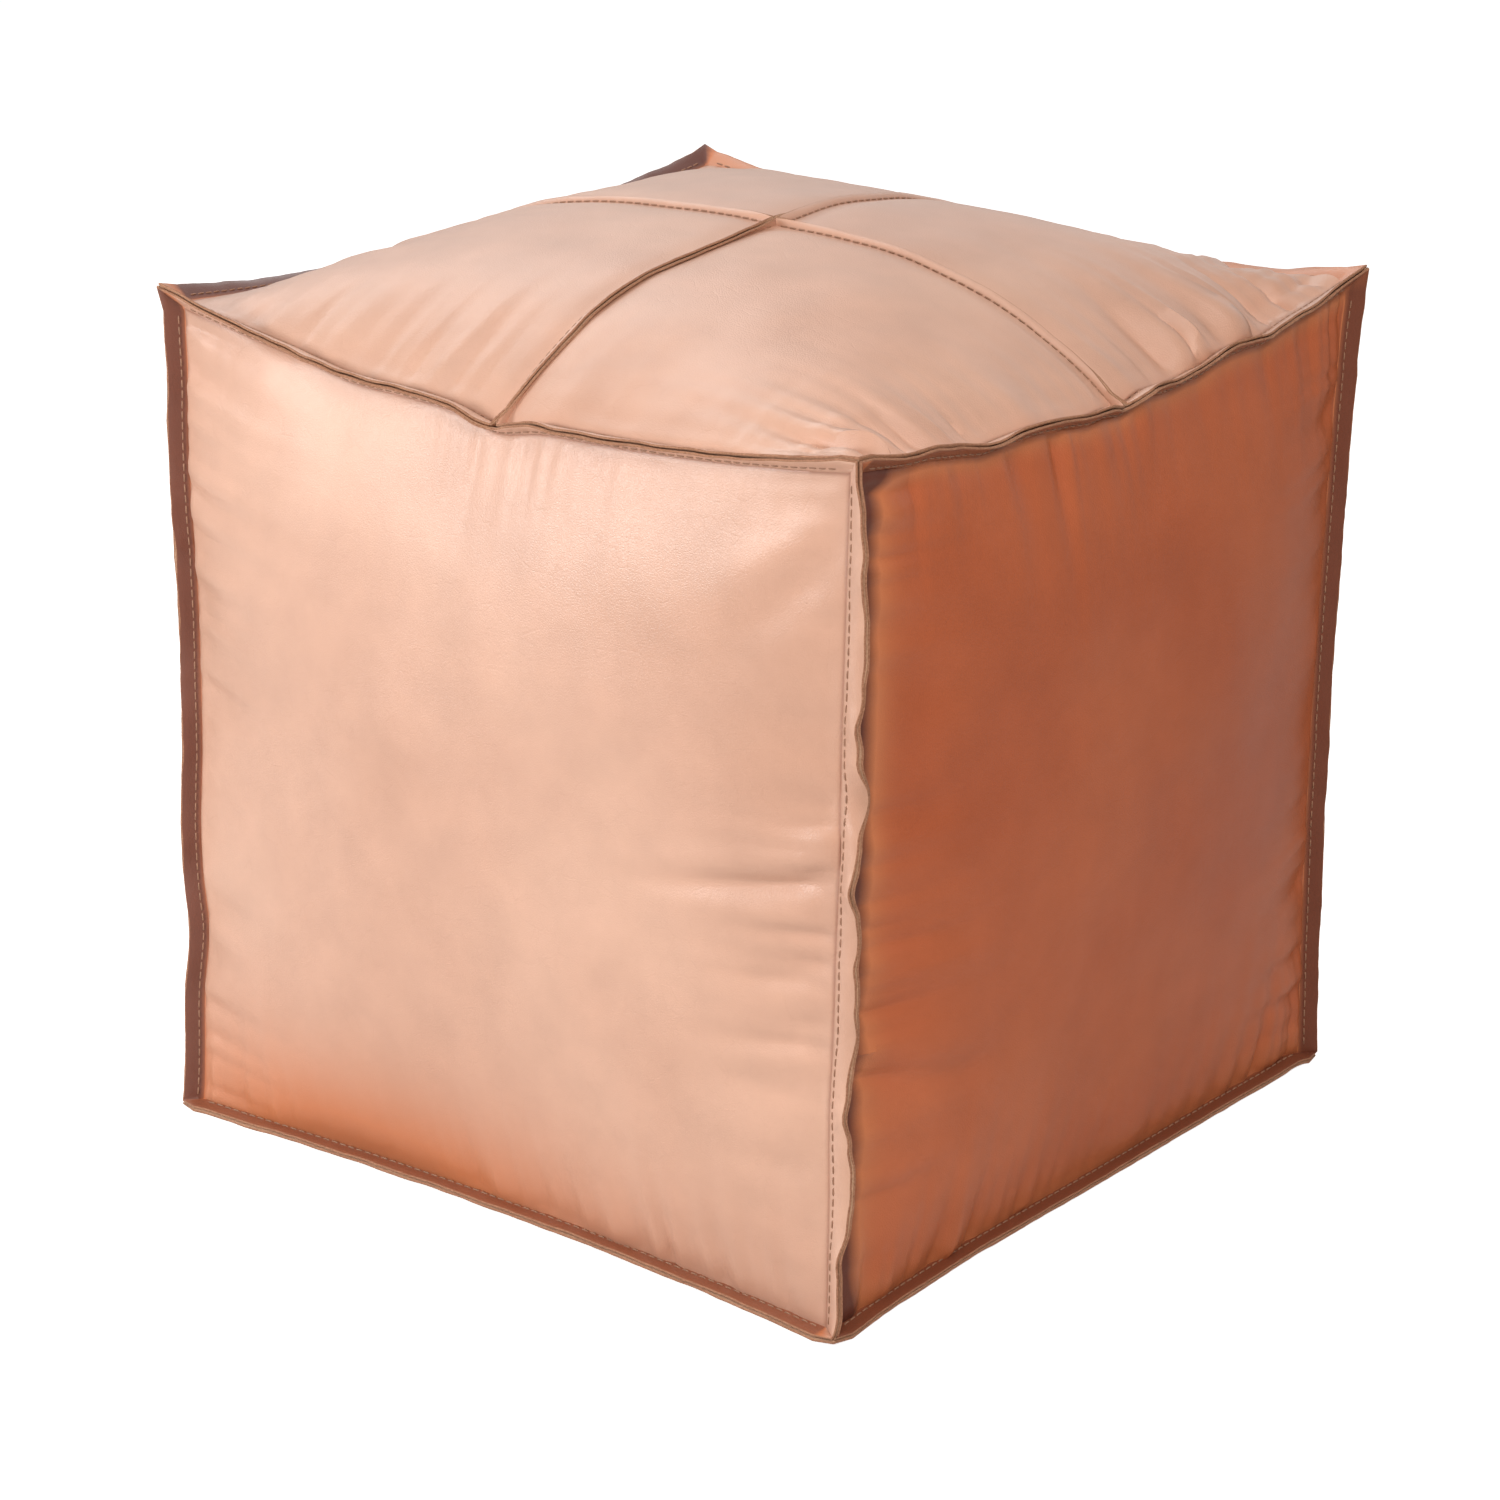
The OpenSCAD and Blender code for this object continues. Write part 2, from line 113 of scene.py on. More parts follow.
def basePoint(a, b):
    return np.stack([
        a * (seamHalf - cover["baseDraw"] * (1 - b * b) * a * a),
        -b * (seamHalf - cover["baseDraw"] * (1 - a * a) * b * b),
        np.full_like(a, seamFloor),
    ], -1)


def facePoint(face, a, b):
    if face == topFace:
        return topPoint(a, b)
    if face == baseFace:
        return basePoint(a, b)
    return turned(sidePoint(a, b), face)


def cubePoint(face, a, b):
    one = np.ones_like(a)
    if face == topFace:
        return np.stack([a, b, one], -1)
    if face == baseFace:
        return np.stack([a, -b, -one], -1)
    return turned(np.stack([a, -one, b], -1), face)


# How this one has settled: each corner's own offset, and places where a seam has drifted, all in mm
settling = {
    "corners": {
        (-1, -1, 1): (0, 0, 1.5), (1, -1, 1): (0, 0, -2), (1, 1, 1): (2, 1.5, 1),
        (-1, 1, 1): (0, 0, -1.5), (-1, -1, -1): (5, -8, 0), (1, -1, -1): (0.5, -4, 0),
        (1, 1, -1): (3, -2.5, 0), (-1, 1, -1): (-1, 0, 0),
    },
    # the two fixed sides of the seam, where along it, over what length, how far, and for some their own reach
    "drifts": [
        ((-1, None, 1), 0.0, 0.8, (0, 0, 8), 0.4), ((None, 1, 1), 0.0, 0.8, (0, 0, 5), 0.4),
        ((1, None, -1), 0.1, 0.6, (6, 0, 0), 0.2), ((-1, -1, None), 0.6, 0.22, (-3, 0.5, 0)),
        ((-1, -1, None), -0.55, 0.1, (2.5, 1, 0)), ((-1, -1, None), -0.28, 0.14, (-2, 0, 0)),
        ((1, -1, None), 0.12, 0.12, (2, -1.5, 0)), ((1, -1, None), -0.5, 0.16, (-2, 1, 0)),
        ((None, -1, 1), 0.0, 0.1, (0, 0.5, -5.5)), ((1, None, 1), 0.0, 0.07, (-0.5, 0, -3)),
        ((1, None, 1), 0.45, 0.12, (0, 0, 2)), ((1, None, 1), -0.35, 0.09, (1, 0, 2)),
        ((1, None, 1), -0.14, 0.05, (1, 0, -1.5)), ((1, None, 1), 0.22, 0.06, (-1, 0, -1.5)),
        ((1, None, 1), 0.08, 0.045, (1, 0, 2)), ((1, None, 1), 0.34, 0.045, (-1, 0, -2)),
        ((1, None, 1), 0.62, 0.05, (-0.5, 0, -2)), ((1, None, 1), -0.56, 0.05, (0, 0, -1.5)),
        ((1, None, 1), -0.76, 0.05, (1, 0, 1.5)), ((None, -1, 1), -0.45, 0.12, (0, -1, -2)),
    ],
    "reach": 0.12,           # how far the other drifts go into the faces
    "cornerHold": 8,         # the corners keep their own places; a higher power holds less of the seam
}


def settled(points, cube):
    moved = points.copy()
    for corner, shift in settling["corners"].items():
        share = np.prod((1 + np.array(corner) * cube) / 2, axis=-1)
        moved += share[..., None] * np.array(shift) * mm
    for seam, at, length, move, *own in settling["drifts"]:
        along = seam.index(None)
        away = sum((cube[..., k] - seam[k]) ** 2 for k in range(3) if k != along)
        reach = own[0] if own else settling["reach"]
        share = np.exp(-((cube[..., along] - at) / length) ** 2 - away / reach ** 2)
        share *= 1 - np.abs(cube[..., along]) ** settling["cornerHold"]
        moved += share[..., None] * np.array(move) * mm
    moved[..., 2] = np.maximum(moved[..., 2], seamFloor)
    return moved


# Folds that the filling has pressed into each face: start, end, width, and height in mm (valleys below 0)
folds = {
    0: [
        ((0.98, 0.92), (0.6, 0.66), 0.05, 3.4), ((0.99, 0.82), (0.62, 0.54), 0.045, -3.2),
        ((1.0, 0.13), (0.45, 0.06), 0.024, 2.6), ((1.0, 0.07), (0.33, -0.01), 0.022, -3.6),
        ((1.0, 0.0), (0.5, -0.06), 0.024, 1.8), ((1.0, -0.15), (0.62, -0.19), 0.022, -2.6),
        ((1.0, -0.25), (0.66, -0.27), 0.024, 1.6), ((1.0, -0.32), (0.58, -0.33), 0.022, -3.0),
        ((1.0, -0.46), (0.55, -0.42), 0.026, -2.6), ((1.0, -0.64), (0.64, -0.61), 0.026, -2.4),
        ((1.0, -0.78), (0.68, -0.72), 0.028, -2.0), ((-1.0, 0.1), (-0.7, 0.05), 0.03, -1.8),
        ((-1.0, -0.5), (-0.68, -0.42), 0.035, -2.4),
    ],
    1: [
        ((-0.97, 0.2), (-0.6, 0.22), 0.028, -2.0), ((-0.97, -0.07), (-0.5, -0.12), 0.028, -2.6),
        ((-0.95, -0.15), (-0.42, -0.21), 0.03, 2.8), ((-0.97, -0.24), (-0.58, -0.29), 0.026, -2.2),
        ((-0.96, -0.34), (-0.45, -0.42), 0.028, 2.8), ((-0.96, -0.42), (-0.36, -0.5), 0.028, -3.8),
        ((-0.97, -0.62), (-0.58, -0.66), 0.03, 2.2), ((-0.97, -0.7), (-0.6, -0.72), 0.026, -2.2),
        ((-0.95, 0.55), (-0.66, 0.46), 0.03, -1.8), ((1.0, -0.35), (0.66, -0.3), 0.03, -2.0),
    ],
    2: [
        ((-1.0, 0.2), (-0.6, 0.1), 0.03, -2.4), ((1.0, -0.3), (0.6, -0.2), 0.035, -2.6),
        ((0.98, 0.9), (0.62, 0.6), 0.045, -2.6),
    ],
    3: [
        ((1.0, -0.2), (0.6, -0.1), 0.03, -2.4), ((-1.0, 0.4), (-0.55, 0.25), 0.035, -2.6),
        ((-0.98, -0.88), (-0.6, -0.6), 0.04, -2.4),
    ],
}
foldSpread = 0.8             # how much wider a fold is where it runs out


def foldHeight(face, a, b):
    height = np.zeros_like(a)
    for start, end, width, tall in folds.get(face, []):
        start, end = np.array(start), np.array(end)
        span = end - start
        t = np.clip(((a - start[0]) * span[0] + (b - start[1]) * span[1]) / (span @ span), 0, 1)
        away = (a - start[0] - t * span[0]) ** 2 + (b - start[1] - t * span[1]) ** 2
        spread = width * (1 + foldSpread * t)
        height += tall * mm * np.exp(-away / spread ** 2) * (1 - t ** 2) ** 1.5
    return height


# Seams that are gathered more or less than the others: face and edge, counted top, right, bottom, left from 1
gathered = {(4, 2): 2.8, (4, 3): 0.7, (1, 4): 1.2, (1, 1): 1.0, (0, 1): 0.25, (0, 2): 0.6, (0, 4): 0.7}


def puckers(face, a, b):   # short creases that run into the panel from its gathered seams
    height = np.zeros_like(a)
    count, finer, share = unevenness["puckerCount"], unevenness["puckerFiner"], unevenness["puckerFinerShare"]
    for across, along, number in ((b, a, 1), (a, b, 2), (-b, -a, 3), (-a, -b, 4)):
        away = (1 - across) * seamHalf
        fade = np.exp(-away / unevenness["puckerReach"]) * (1 - np.exp(-away / unevenness["puckerStart"]))
        skewed = along + unevenness["puckerSkew"] * (1 - across) * math.cos(face * 2 + number)
        wavy = np.array([    # the numbers beside number and face give each seam its own noise
            noise.noise(Vector((t * count, number * 5.3, face * 3.1)))
            - share * noise.noise(Vector((t * count * finer, number * 2.9, face * 7.7)))
            for t in skewed.ravel()
        ]).reshape(a.shape)
        strength = 0.55 + 0.45 * np.sin(along * 4.1 + face * 2.4 + number)
        height += unevenness["pucker"] * gathered.get((face, number), 1) * wavy * fade * strength
    return height


# Cloth simulation: the panels are cut larger than their seams, so they crease where they are sewn

simulation = {
    "cells": 48,
    "frames": 20,
    "quality": 6,
    "cut": 1.06,             # size of the cut panels against the sewn cover
    "pressure": 30.0,
    "mass": 0.02,
    "tension": 15.0,
    "bending": 2.0,
    "uneven": 2.2 * mm,      # unevenness of the filling that starts the creases
    "unevenScale": 24.0,
    "cap": 7 * mm,           # how far a point may move
    "smoothing": 160,        # passes that tell the broad swelling from the creases
    "broadShare": 0.15,      # share of the broad swelling that is kept
}


def faceGrids(count):
    steps = crowded(np.linspace(-1, 1, count + 1))
    b, a = np.meshgrid(steps, steps, indexing="ij")
    cube = np.stack([cubePoint(face, a, b) for face in range(6)])
    points = np.stack([facePoint(face, a, b) for face in range(6)])
    return settled(points, cube), cube


def sharedVertices(cube):
    keys = np.round(cube.reshape(-1, 3) * 1e4).astype(int)
    _, first, which = np.unique(keys, axis=0, return_index=True, return_inverse=True)
    return first, which.reshape(cube.shape[:-1])


def gridQuads(index):
    return np.stack([index[:-1, :-1], index[:-1, 1:], index[1:, 1:], index[1:, :-1]], -1).reshape(-1, 4)


def smoothed(field, passes):
    broad = field.copy()
    for _ in range(passes):
        broad[:, 1:-1, 1:-1] = (broad[:, :-2, 1:-1] + broad[:, 2:, 1:-1]
                                + broad[:, 1:-1, :-2] + broad[:, 1:-1, 2:]) / 4
    return broad


def resampled(field, axis, count):   # cubic, to a finer grid over the same span
    field = np.moveaxis(field, axis, 0)
    place = np.linspace(0, len(field) - 1, count + 1)
    cell = np.minimum(place.astype(int), len(field) - 2)
    t = (place - cell).reshape(-1, *[1] * (field.ndim - 1))
    padded = np.concatenate([2 * field[:1] - field[1:2], field, 2 * field[-1:] - field[-2:-1]])
    before, low, high, after = (padded[cell + k] for k in range(4))
    curve = 2 * before - 5 * low + 4 * high - after
    bend = t * (high - before + t * (curve + t * (3 * (low - high) + after - before)))
    return np.moveaxis(low + bend / 2, 0, axis)


def simulatedCreases():
    points, cube = faceGrids(simulation["cells"])
    first, index = sharedVertices(cube)
    sewn = points.reshape(-1, 3)[first]
    corners = cube.reshape(-1, 3)[first]
    held = (np.sum(np.abs(corners) > 0.9999, axis=1) > 1) | (corners[:, 2] < -0.9999)
    quads = np.concatenate([gridQuads(index[face]) for face in range(6)])
    start = sewn.copy()
    for number in np.flatnonzero(~held):
        push = noise.noise_vector(Vector(sewn[number]) * simulation["unevenScale"])
        start[number] += simulation["uneven"] * np.array(push)
    mesh = bpy.data.meshes.new("simulatedCover")
    mesh.from_pydata(start.tolist(), [], quads.tolist())
    body = bpy.data.objects.new("simulatedCover", mesh)
    bpy.context.scene.collection.objects.link(body)
    body.shape_key_add(name="sewn")
    cut = body.shape_key_add(name="cutPanels")
    cut.data.foreach_set("co", (sewn * simulation["cut"]).ravel())
    body.vertex_groups.new(name="seams").add(np.flatnonzero(held).tolist(), 1.0, "REPLACE")
    cloth = body.modifiers.new("cloth", "CLOTH")
    cloth.point_cache.frame_end = simulation["frames"]
    values = cloth.settings
    values.quality = simulation["quality"]
    values.mass = simulation["mass"]
    values.vertex_group_mass = "seams"
    values.rest_shape_key = cut
    values.use_pressure = True
    values.uniform_pressure_force = simulation["pressure"]
    values.effector_weights.gravity = 0
    values.tension_stiffness = values.compression_stiffness = simulation["tension"]
    values.shear_stiffness = simulation["tension"] / 2
    values.bending_stiffness = simulation["bending"]
    for number in range(1, simulation["frames"] + 1):
        bpy.context.scene.frame_set(number)
    result = body.evaluated_get(bpy.context.evaluated_depsgraph_get())
    swollen = np.empty(len(sewn) * 3, np.float32)
    result.data.vertices.foreach_get("co", swollen)
    bpy.data.objects.remove(body)
    bpy.context.scene.frame_set(1)
    moved = (swollen.reshape(-1, 3) - sewn)[index]
    broad = smoothed(moved, simulation["smoothing"])
    crease = moved - broad * (1 - simulation["broadShare"])
    length = np.linalg.norm(crease, axis=-1, keepdims=True)
    crease *= np.tanh(length / simulation["cap"]) * simulation["cap"] / np.maximum(length, 1e-9)
    print("simulation: largest move %.1f mm, largest crease %.1f mm" % (
        np.abs(moved).max() / mm, np.abs(crease).max() / mm))
    return resampled(resampled(crease, 1, cells), 2, cells)


def normalsOf(points):
    across = np.gradient(points, axis=1)
    up = np.gradient(points, axis=0)
    return unit(np.cross(across, up))


unevenness = {
    "crossValley": 2.2 * mm,  # how far the cross seam draws the top in
    "crossWidth": 0.05,
    "lumps": 2.2 * mm,        # lumps of filling under the leather
    "lumpScale": 9.0,         # per metre
    "lumpFade": 1.3,          # a higher value takes lumps, folds and the cross closer to the seams
    "foldFade": 2.5,
    "crossFade": 1.5,
    "ripples": 0.9 * mm,
    "rippleScale": 24.0,
    "pucker": 9 * mm,
    "puckerCount": 12.0,      # puckers over half a seam
    "puckerReach": 26 * mm,
    "puckerStart": 7 * mm,
    "puckerFiner": 2.3,       # finer puckers between the broad ones
    "puckerFinerShare": 0.8,
    "puckerSkew": 0.06,
}

surface, cubeGrid = faceGrids(cells)
surface += simulatedCreases()
steps = crowded(np.linspace(-1, 1, cells + 1))
rowSteps, colSteps = np.meshgrid(steps, steps, indexing="ij")
inside = np.clip(unevenness["lumpFade"] * bulge(rowSteps, colSteps), 0, 1)
for face in range(5):
    lumps = np.array([
        unevenness["lumps"] * noise.noise(Vector(p) * unevenness["lumpScale"] + Vector((7, 3, face)))
        + unevenness["ripples"] * noise.noise(Vector(p) * unevenness["rippleScale"] + Vector((1, 5, face)))
        for p in surface[face].reshape(-1, 3)
    ]).reshape(cells + 1, cells + 1)
    folded = foldHeight(face, colSteps, rowSteps) * np.minimum(1, inside * unevenness["foldFade"])
    height = lumps * inside + folded + puckers(face, colSteps, rowSteps)
    if face == topFace:
        arms = sum(np.exp(-(t / unevenness["crossWidth"]) ** 2) for t in (colSteps, rowSteps))
        valley = np.minimum(arms, 1) * np.minimum(1, inside * unevenness["crossFade"])
        height -= unevenness["crossValley"] * valley
    surface[face] += height[..., None] * normalsOf(surface[face])
firstShared, sharedIndex = sharedVertices(cubeGrid)
surface = surface.reshape(-1, 3)[firstShared][sharedIndex]
print("surface of the cover shaped")

# Materials


class Nodes:
    def __init__(self, tree):
        self.tree = tree

    def put(self, value, socket):
        if isinstance(value, bpy.types.NodeSocket):
            self.tree.links.new(value, socket)
        else:
            socket.default_value = value

    def add(self, kind, inputs=None, **settings):
        made = self.tree.nodes.new("ShaderNode" + kind)
        for name, value in settings.items():
            setattr(made, name, value)
        for name, value in (inputs or {}).items():
            self.put(value, made.inputs[name])
        return made

    def math(self, operation, first, second=0.0):
        return self.add("Math", {0: first, 1: second}, operation=operation).outputs[0]

    def times(self, first, second):
        return self.math("MULTIPLY", first, second)

    def per(self, size):
        return self.math("DIVIDE", 1.0, size)

    def mix(self, factor, first, second, blend="MIX"):
        made = self.add("Mix", {0: factor, 6: first, 7: second}, data_type="RGBA", blend_type=blend)
        return made.outputs[2]

    def ramp(self, value, low=0.0, high=1.0, start=0.0, end=1.0, kind="LINEAR"):
        span = {"Value": value, "From Min": low, "From Max": high, "To Min": start, "To Max": end}
        return self.add("MapRange", span, interpolation_type=kind).outputs[0]

    def noise(self, vector, scale, detail=2.0, roughness=0.5, output="Fac"):
        values = {"Vector": vector, "Scale": scale, "Detail": detail, "Roughness": roughness}
        return self.add("TexNoise", values).outputs[output]

    def inMillimetres(self, vector):
        return self.add("VectorMath", {0: vector, 1: (1000, 1000, 1000)}, operation="MULTIPLY").outputs[0]

    def group(self, tree, inputs):
        return self.add("Group", inputs, node_tree=tree).outputs


def nodeGroup(name, inputs, outputs, build):   # an input is a kind of socket or the start value of a number
    tree = bpy.data.node_groups.new(name, "ShaderNodeTree")
    for label, value in inputs.items():
        kind = value if isinstance(value, str) else "Float"
        socket = tree.interface.new_socket(label, in_out="INPUT", socket_type="NodeSocket" + kind)
        if kind == "Float":
            socket.default_value = value
    for label, kind in outputs.items():
        tree.interface.new_socket(label, in_out="OUTPUT", socket_type="NodeSocket" + kind)
    nodes = Nodes(tree)
    given, result = tree.nodes.new("NodeGroupInput").outputs, tree.nodes.new("NodeGroupOutput")
    for label, socket in zip(outputs, build(nodes, given)):
        nodes.put(socket, result.inputs[label])
    return tree


def grainNodes(nodes, given):   # pebbled grain with fine creases between the cells
    place = nodes.inMillimetres(given["Vector"])
    bent = nodes.noise(place, 0.35, output="Color")
    offset = nodes.add("VectorMath", {0: place, 1: bent}, operation="ADD").outputs[0]
    lines = []
    for size, wide in (("Cell Size", 0.22), ("Crease Size", 0.06)):
        cell = nodes.add("TexVoronoi", {"Vector": offset, "Scale": nodes.per(given[size])},
                         feature="DISTANCE_TO_EDGE")
        lines.append(nodes.ramp(cell.outputs["Distance"], 0.0, wide))
    shown = nodes.ramp(nodes.noise(place, 0.05, 3.0), 0.45, 0.62)
    faint = nodes.times(nodes.math("SUBTRACT", 1.0, lines[1]), shown)
    return nodes.math("SUBTRACT", lines[0], faint), faint


def toneNodes(nodes, given):    # slow change of colour over a hide, in three tones
    scale = nodes.per(given["Patch Size"])
    broad = nodes.noise(given["Vector"], scale, 2.0, 0.45)
    fine = nodes.noise(given["Vector"], nodes.times(scale, 7.0), 4.0)
    first = nodes.mix(nodes.ramp(broad, 0.3, 0.5, kind="SMOOTHSTEP"), given["Dark"], given["Middle"])
    second = nodes.mix(nodes.ramp(broad, 0.5, 0.72, kind="SMOOTHSTEP"), first, given["Light"])
    speck = nodes.ramp(fine, 0.25, 0.75, 0.93, 1.05)
    shade = nodes.add("CombineColor", {0: speck, 1: speck, 2: speck}).outputs[0]
    return nodes.mix(1.0, second, shade, "MULTIPLY"), broad


def weaveNodes(nodes, given):   # plain weave in the plane of the given coordinates
    scale = nodes.math("DIVIDE", math.pi * 1000, given["Thread Width"])
    parts = nodes.add("SeparateXYZ", {0: given["Vector"]})
    threads, turns = [], []
    for axis in range(2):
        along = nodes.times(parts.outputs[axis], scale)
        threads.append(nodes.math("ABSOLUTE", nodes.math("SINE", along)))
        turns.append(nodes.math("COSINE", nodes.times(along, 0.5)))
    which = nodes.math("GREATER_THAN", nodes.times(*turns), 0.0)
    under = nodes.times(threads[1], nodes.math("SUBTRACT", 1.0, which))
    return nodes.math("ADD", nodes.times(threads[0], which), under), nodes.times(*threads)


def wearNodes(nodes, given):    # rubbed places along seams, and the painted shade in each seam's crease, from the reach across the seam allowance
    patch = nodes.noise(given["Vector"], nodes.per(given["Patch Size"]), 4.0)
    edge = nodes.ramp(given["Reach"], 0.6, 1.05, kind="SMOOTHSTEP")
    rubbed = nodes.times(edge, nodes.ramp(patch, 0.35, 0.65))
    # the second output is painted shade in the crease, darkest on the seam line
    return rubbed, nodes.ramp(nodes.math("ABSOLUTE", given["Reach"]), 0.0, 0.3, 1.0, 0.0, "SMOOTHSTEP")


grainGroup = nodeGroup("leatherGrain", {"Vector": "Vector", "Cell Size": 1.1, "Crease Size": 9.0},
                       {"Height": "Float", "Creases": "Float"}, grainNodes)
toneGroup = nodeGroup("toneVariation", {"Vector": "Vector", "Patch Size": 0.16, "Dark": "Color",
                                        "Middle": "Color", "Light": "Color"},
                      {"Color": "Color", "Patches": "Float"}, toneNodes)
weaveGroup = nodeGroup("plainWeave", {"Vector": "Vector", "Thread Width": 0.6},
                       {"Height": "Float", "Gaps": "Float"}, weaveNodes)
wearAndCreaseShadeGroup = nodeGroup("seamWearAndCreaseShade", {"Vector": "Vector", "Reach": 0.0, "Patch Size": 0.02},
                      {"Rubbed": "Float", "Crease": "Float"}, wearNodes)


def toned(nodes, vector, size, dark, middle, light):
    return nodes.group(toneGroup, {"Vector": vector, "Patch Size": size, "Dark": dark, "Middle": middle,
                                   "Light": light})


def newMaterial(name):
    material = bpy.data.materials.new(name)
    material.use_nodes = True
    nodes = Nodes(material.node_tree)
    return material, nodes, nodes.add("TexCoord").outputs


def shaded(material, nodes, values, bump=None):   # a bump is its height, strength and depth
    shader = material.node_tree.nodes["Principled BSDF"]
    for name, value in values.items():
        nodes.put(value, shader.inputs[name])
    if bump:
        made = nodes.add("Bump", dict(zip(("Height", "Strength", "Distance"), bump)))
        nodes.put(made.outputs[0], shader.inputs["Normal"])
    return material


# Each copy's gloss and its dark, middle and light tone; the paler copy is painted light for the lit front and
# top, the deeper copy is painted shade for the shaded right side, and the warm copy goes on the back, the
# left side and the base
hideCopiesByLight = {
    "pale": (0.45, (0.51, 0.295, 0.208, 1), (0.56, 0.335, 0.243, 1), (0.61, 0.380, 0.280, 1)),
    "warm": (0.30, (0.47, 0.190, 0.105, 1), (0.52, 0.225, 0.130, 1), (0.57, 0.270, 0.160, 1)),
    "deep": (0.20, (0.40, 0.100, 0.038, 1), (0.44, 0.120, 0.048, 1), (0.49, 0.150, 0.066, 1)),
}
leather = {
    # the crease colour is both the painted shade in the seam creases and the colour of the grain's fine lines
    "crease": (0.24, 0.085, 0.045, 1),
    "rubbed": (0.74, 0.46, 0.33, 1),
    # two steps of painted shade on the seam allowances and on the panels beside them
    "paintedHalfShade": (0.52, 0.185, 0.080, 1),
    "paintedFullShade": (0.12, 0.038, 0.024, 1),
    "creaseShadeShare": 0.55,     # how much of its colour the painted shade in a seam's crease, a rubbed place and a fine line show
    "rubbedShare": 0.3,
    "lineShare": 0.03,
    "patch": 0.2,            # size of the patches of tone, in metres
    "wearPatch": 0.02,
    "cell": 1.3,             # size of a cell of the grain, and of the net of fine lines, in mm
    "lineNet": 11.0,
    "roughness": (0.33, 0.40),
    "bump": 0.35,
    "grainDepth": 0.12 * mm,
}


def leatherMaterial(hide):
    material, nodes, place = newMaterial(hide + "Leather")
    gloss, *tones = hideCopiesByLight[hide]
    vector = place["Object"]
    reach, paintedShade = (nodes.add("Attribute", attribute_name=mark).outputs["Fac"] for mark in ("reach", "paintedShade"))
    tone = toned(nodes, vector, leather["patch"], *tones)
    grain = nodes.group(grainGroup, {"Vector": vector, "Cell Size": leather["cell"],
                                     "Crease Size": leather["lineNet"]})
    wearAndShade = nodes.group(wearAndCreaseShadeGroup, {"Vector": vector, "Reach": reach, "Patch Size": leather["wearPatch"]})
    color = tone["Color"]
    # the first mark is painted shade in each seam's crease; the other two are rubbing and grain
    marks = [
        (wearAndShade["Crease"], "creaseShadeShare", "crease"),
        (wearAndShade["Rubbed"], "rubbedShare", "rubbed"),
        (grain["Creases"], "lineShare", "crease"),
    ]
    for mask, share, tint in marks:
        color = nodes.mix(nodes.times(mask, leather[share]), color, leather[tint])
    # painted shade on the seam allowances and beside the seams, in two steps
    color = nodes.mix(nodes.ramp(paintedShade, 0.0, 0.5), color, leather["paintedHalfShade"])
    color = nodes.mix(nodes.ramp(paintedShade, 0.5, 1.0), color, leather["paintedFullShade"])
    rough = nodes.ramp(tone["Patches"], 0.3, 0.7, *leather["roughness"])
    return shaded(material, nodes, {"Base Color": color, "Roughness": rough, "Specular IOR Level": gloss},
                  (grain["Height"], leather["bump"], leather["grainDepth"]))


def fibrousMaterial(name, dark, light, scale, roughness, depth):
    material, nodes, place = newMaterial(name)
    fibres = nodes.noise(place["Object"], scale, 6.0, 0.7)
    color = nodes.mix(nodes.ramp(fibres, 0.35, 0.65), dark, light)
    return shaded(material, nodes, {"Base Color": color, "Roughness": roughness, "Specular IOR Level": 0.2},
                  (fibres, 0.6, depth))


cutEdge = fibrousMaterial("cutEdge", (0.24, 0.115, 0.068, 1), (0.42, 0.225, 0.14, 1), 900, 0.8, 0.2 * mm)
fleshSide = fibrousMaterial("fleshSide", (0.42, 0.25, 0.16, 1), (0.60, 0.40, 0.28, 1), 700, 0.95, 0.3 * mm)
leatherSkins = {hide: [leatherMaterial(hide), cutEdge, fleshSide] for hide in hideCopiesByLight}
print("leather materials made")

# Leather panels with their seam allowances

allowance = {
    "edgeWidth": 12 * mm,    # along the edges of the cube
    "crossWidth": 6 * mm,    # along the cross on the top
    "ragged": 0.7 * mm,      # unevenness of the cut edges
    "raggedScales": (9, 31), # broad and fine waves of it over half a seam, and the share of the fine ones
    "raggedFine": 0.5,
    "crossRagged": 0.5,      # share of it on the cross
    "leanScales": (5.5, 13), # the same for the lean of a seam
    "leanFine": 0.6,
    "endHold": 6,            # a seam doesn't lean at its ends; a higher power holds less of it
    "gape": 0.7,             # share of the splay that every place has
    "paintedShadeFrom": 6,          # how quickly the painted shade begins beside the seam
    "pinch": 0.25 * mm,      # how deep the stitches draw each layer in
    "splay": 0.5 * mm,       # how far each layer stands off at the cut edge
    "splayFrom": 0.4,        # share of the width from where the layers part and get thinner
    "round": 0.3 * mm,       # rounding of the cut edges
    "skived": 0.42,          # share of its thickness that each layer loses towards the cut edge
    "notch": 3.0 * mm,       # dip of the edge seams where the cross meets them
    "notchLength": 0.035,
}
# Mean lean and wave of the lean of each seam, in degrees; a positive lean is towards the first face
seamLean = {
    "top0": (18, 9), "top1": (13, 12), "top2": (20, 12), "top3": (24, 10),
    "corner0": (-33, 30), "corner1": (6, 12), "corner2": (0, 12), "corner3": (-6, 16),
    "base0": (3, 3), "base1": (3, 3), "base2": (3, 3), "base3": (3, 3),
    "cross0": (40, 6), "cross1": (46, 4), "cross2": (46, 4), "cross3": (-46, 4),
}
# How far each allowance, or one layer of it, is darkened with painted shade, to the middle shade colour at
# 0.5 and to the darkest at 1
seamPaintedShade = {
    ("top1", 1): 0.85, "top2": 0.3, "top3": 1.0, "corner1": 0.95, "corner3": 0.97,
    "base0": 0.85, "base1": 0.9, "base2": 0.8, "base3": 0.8,
}
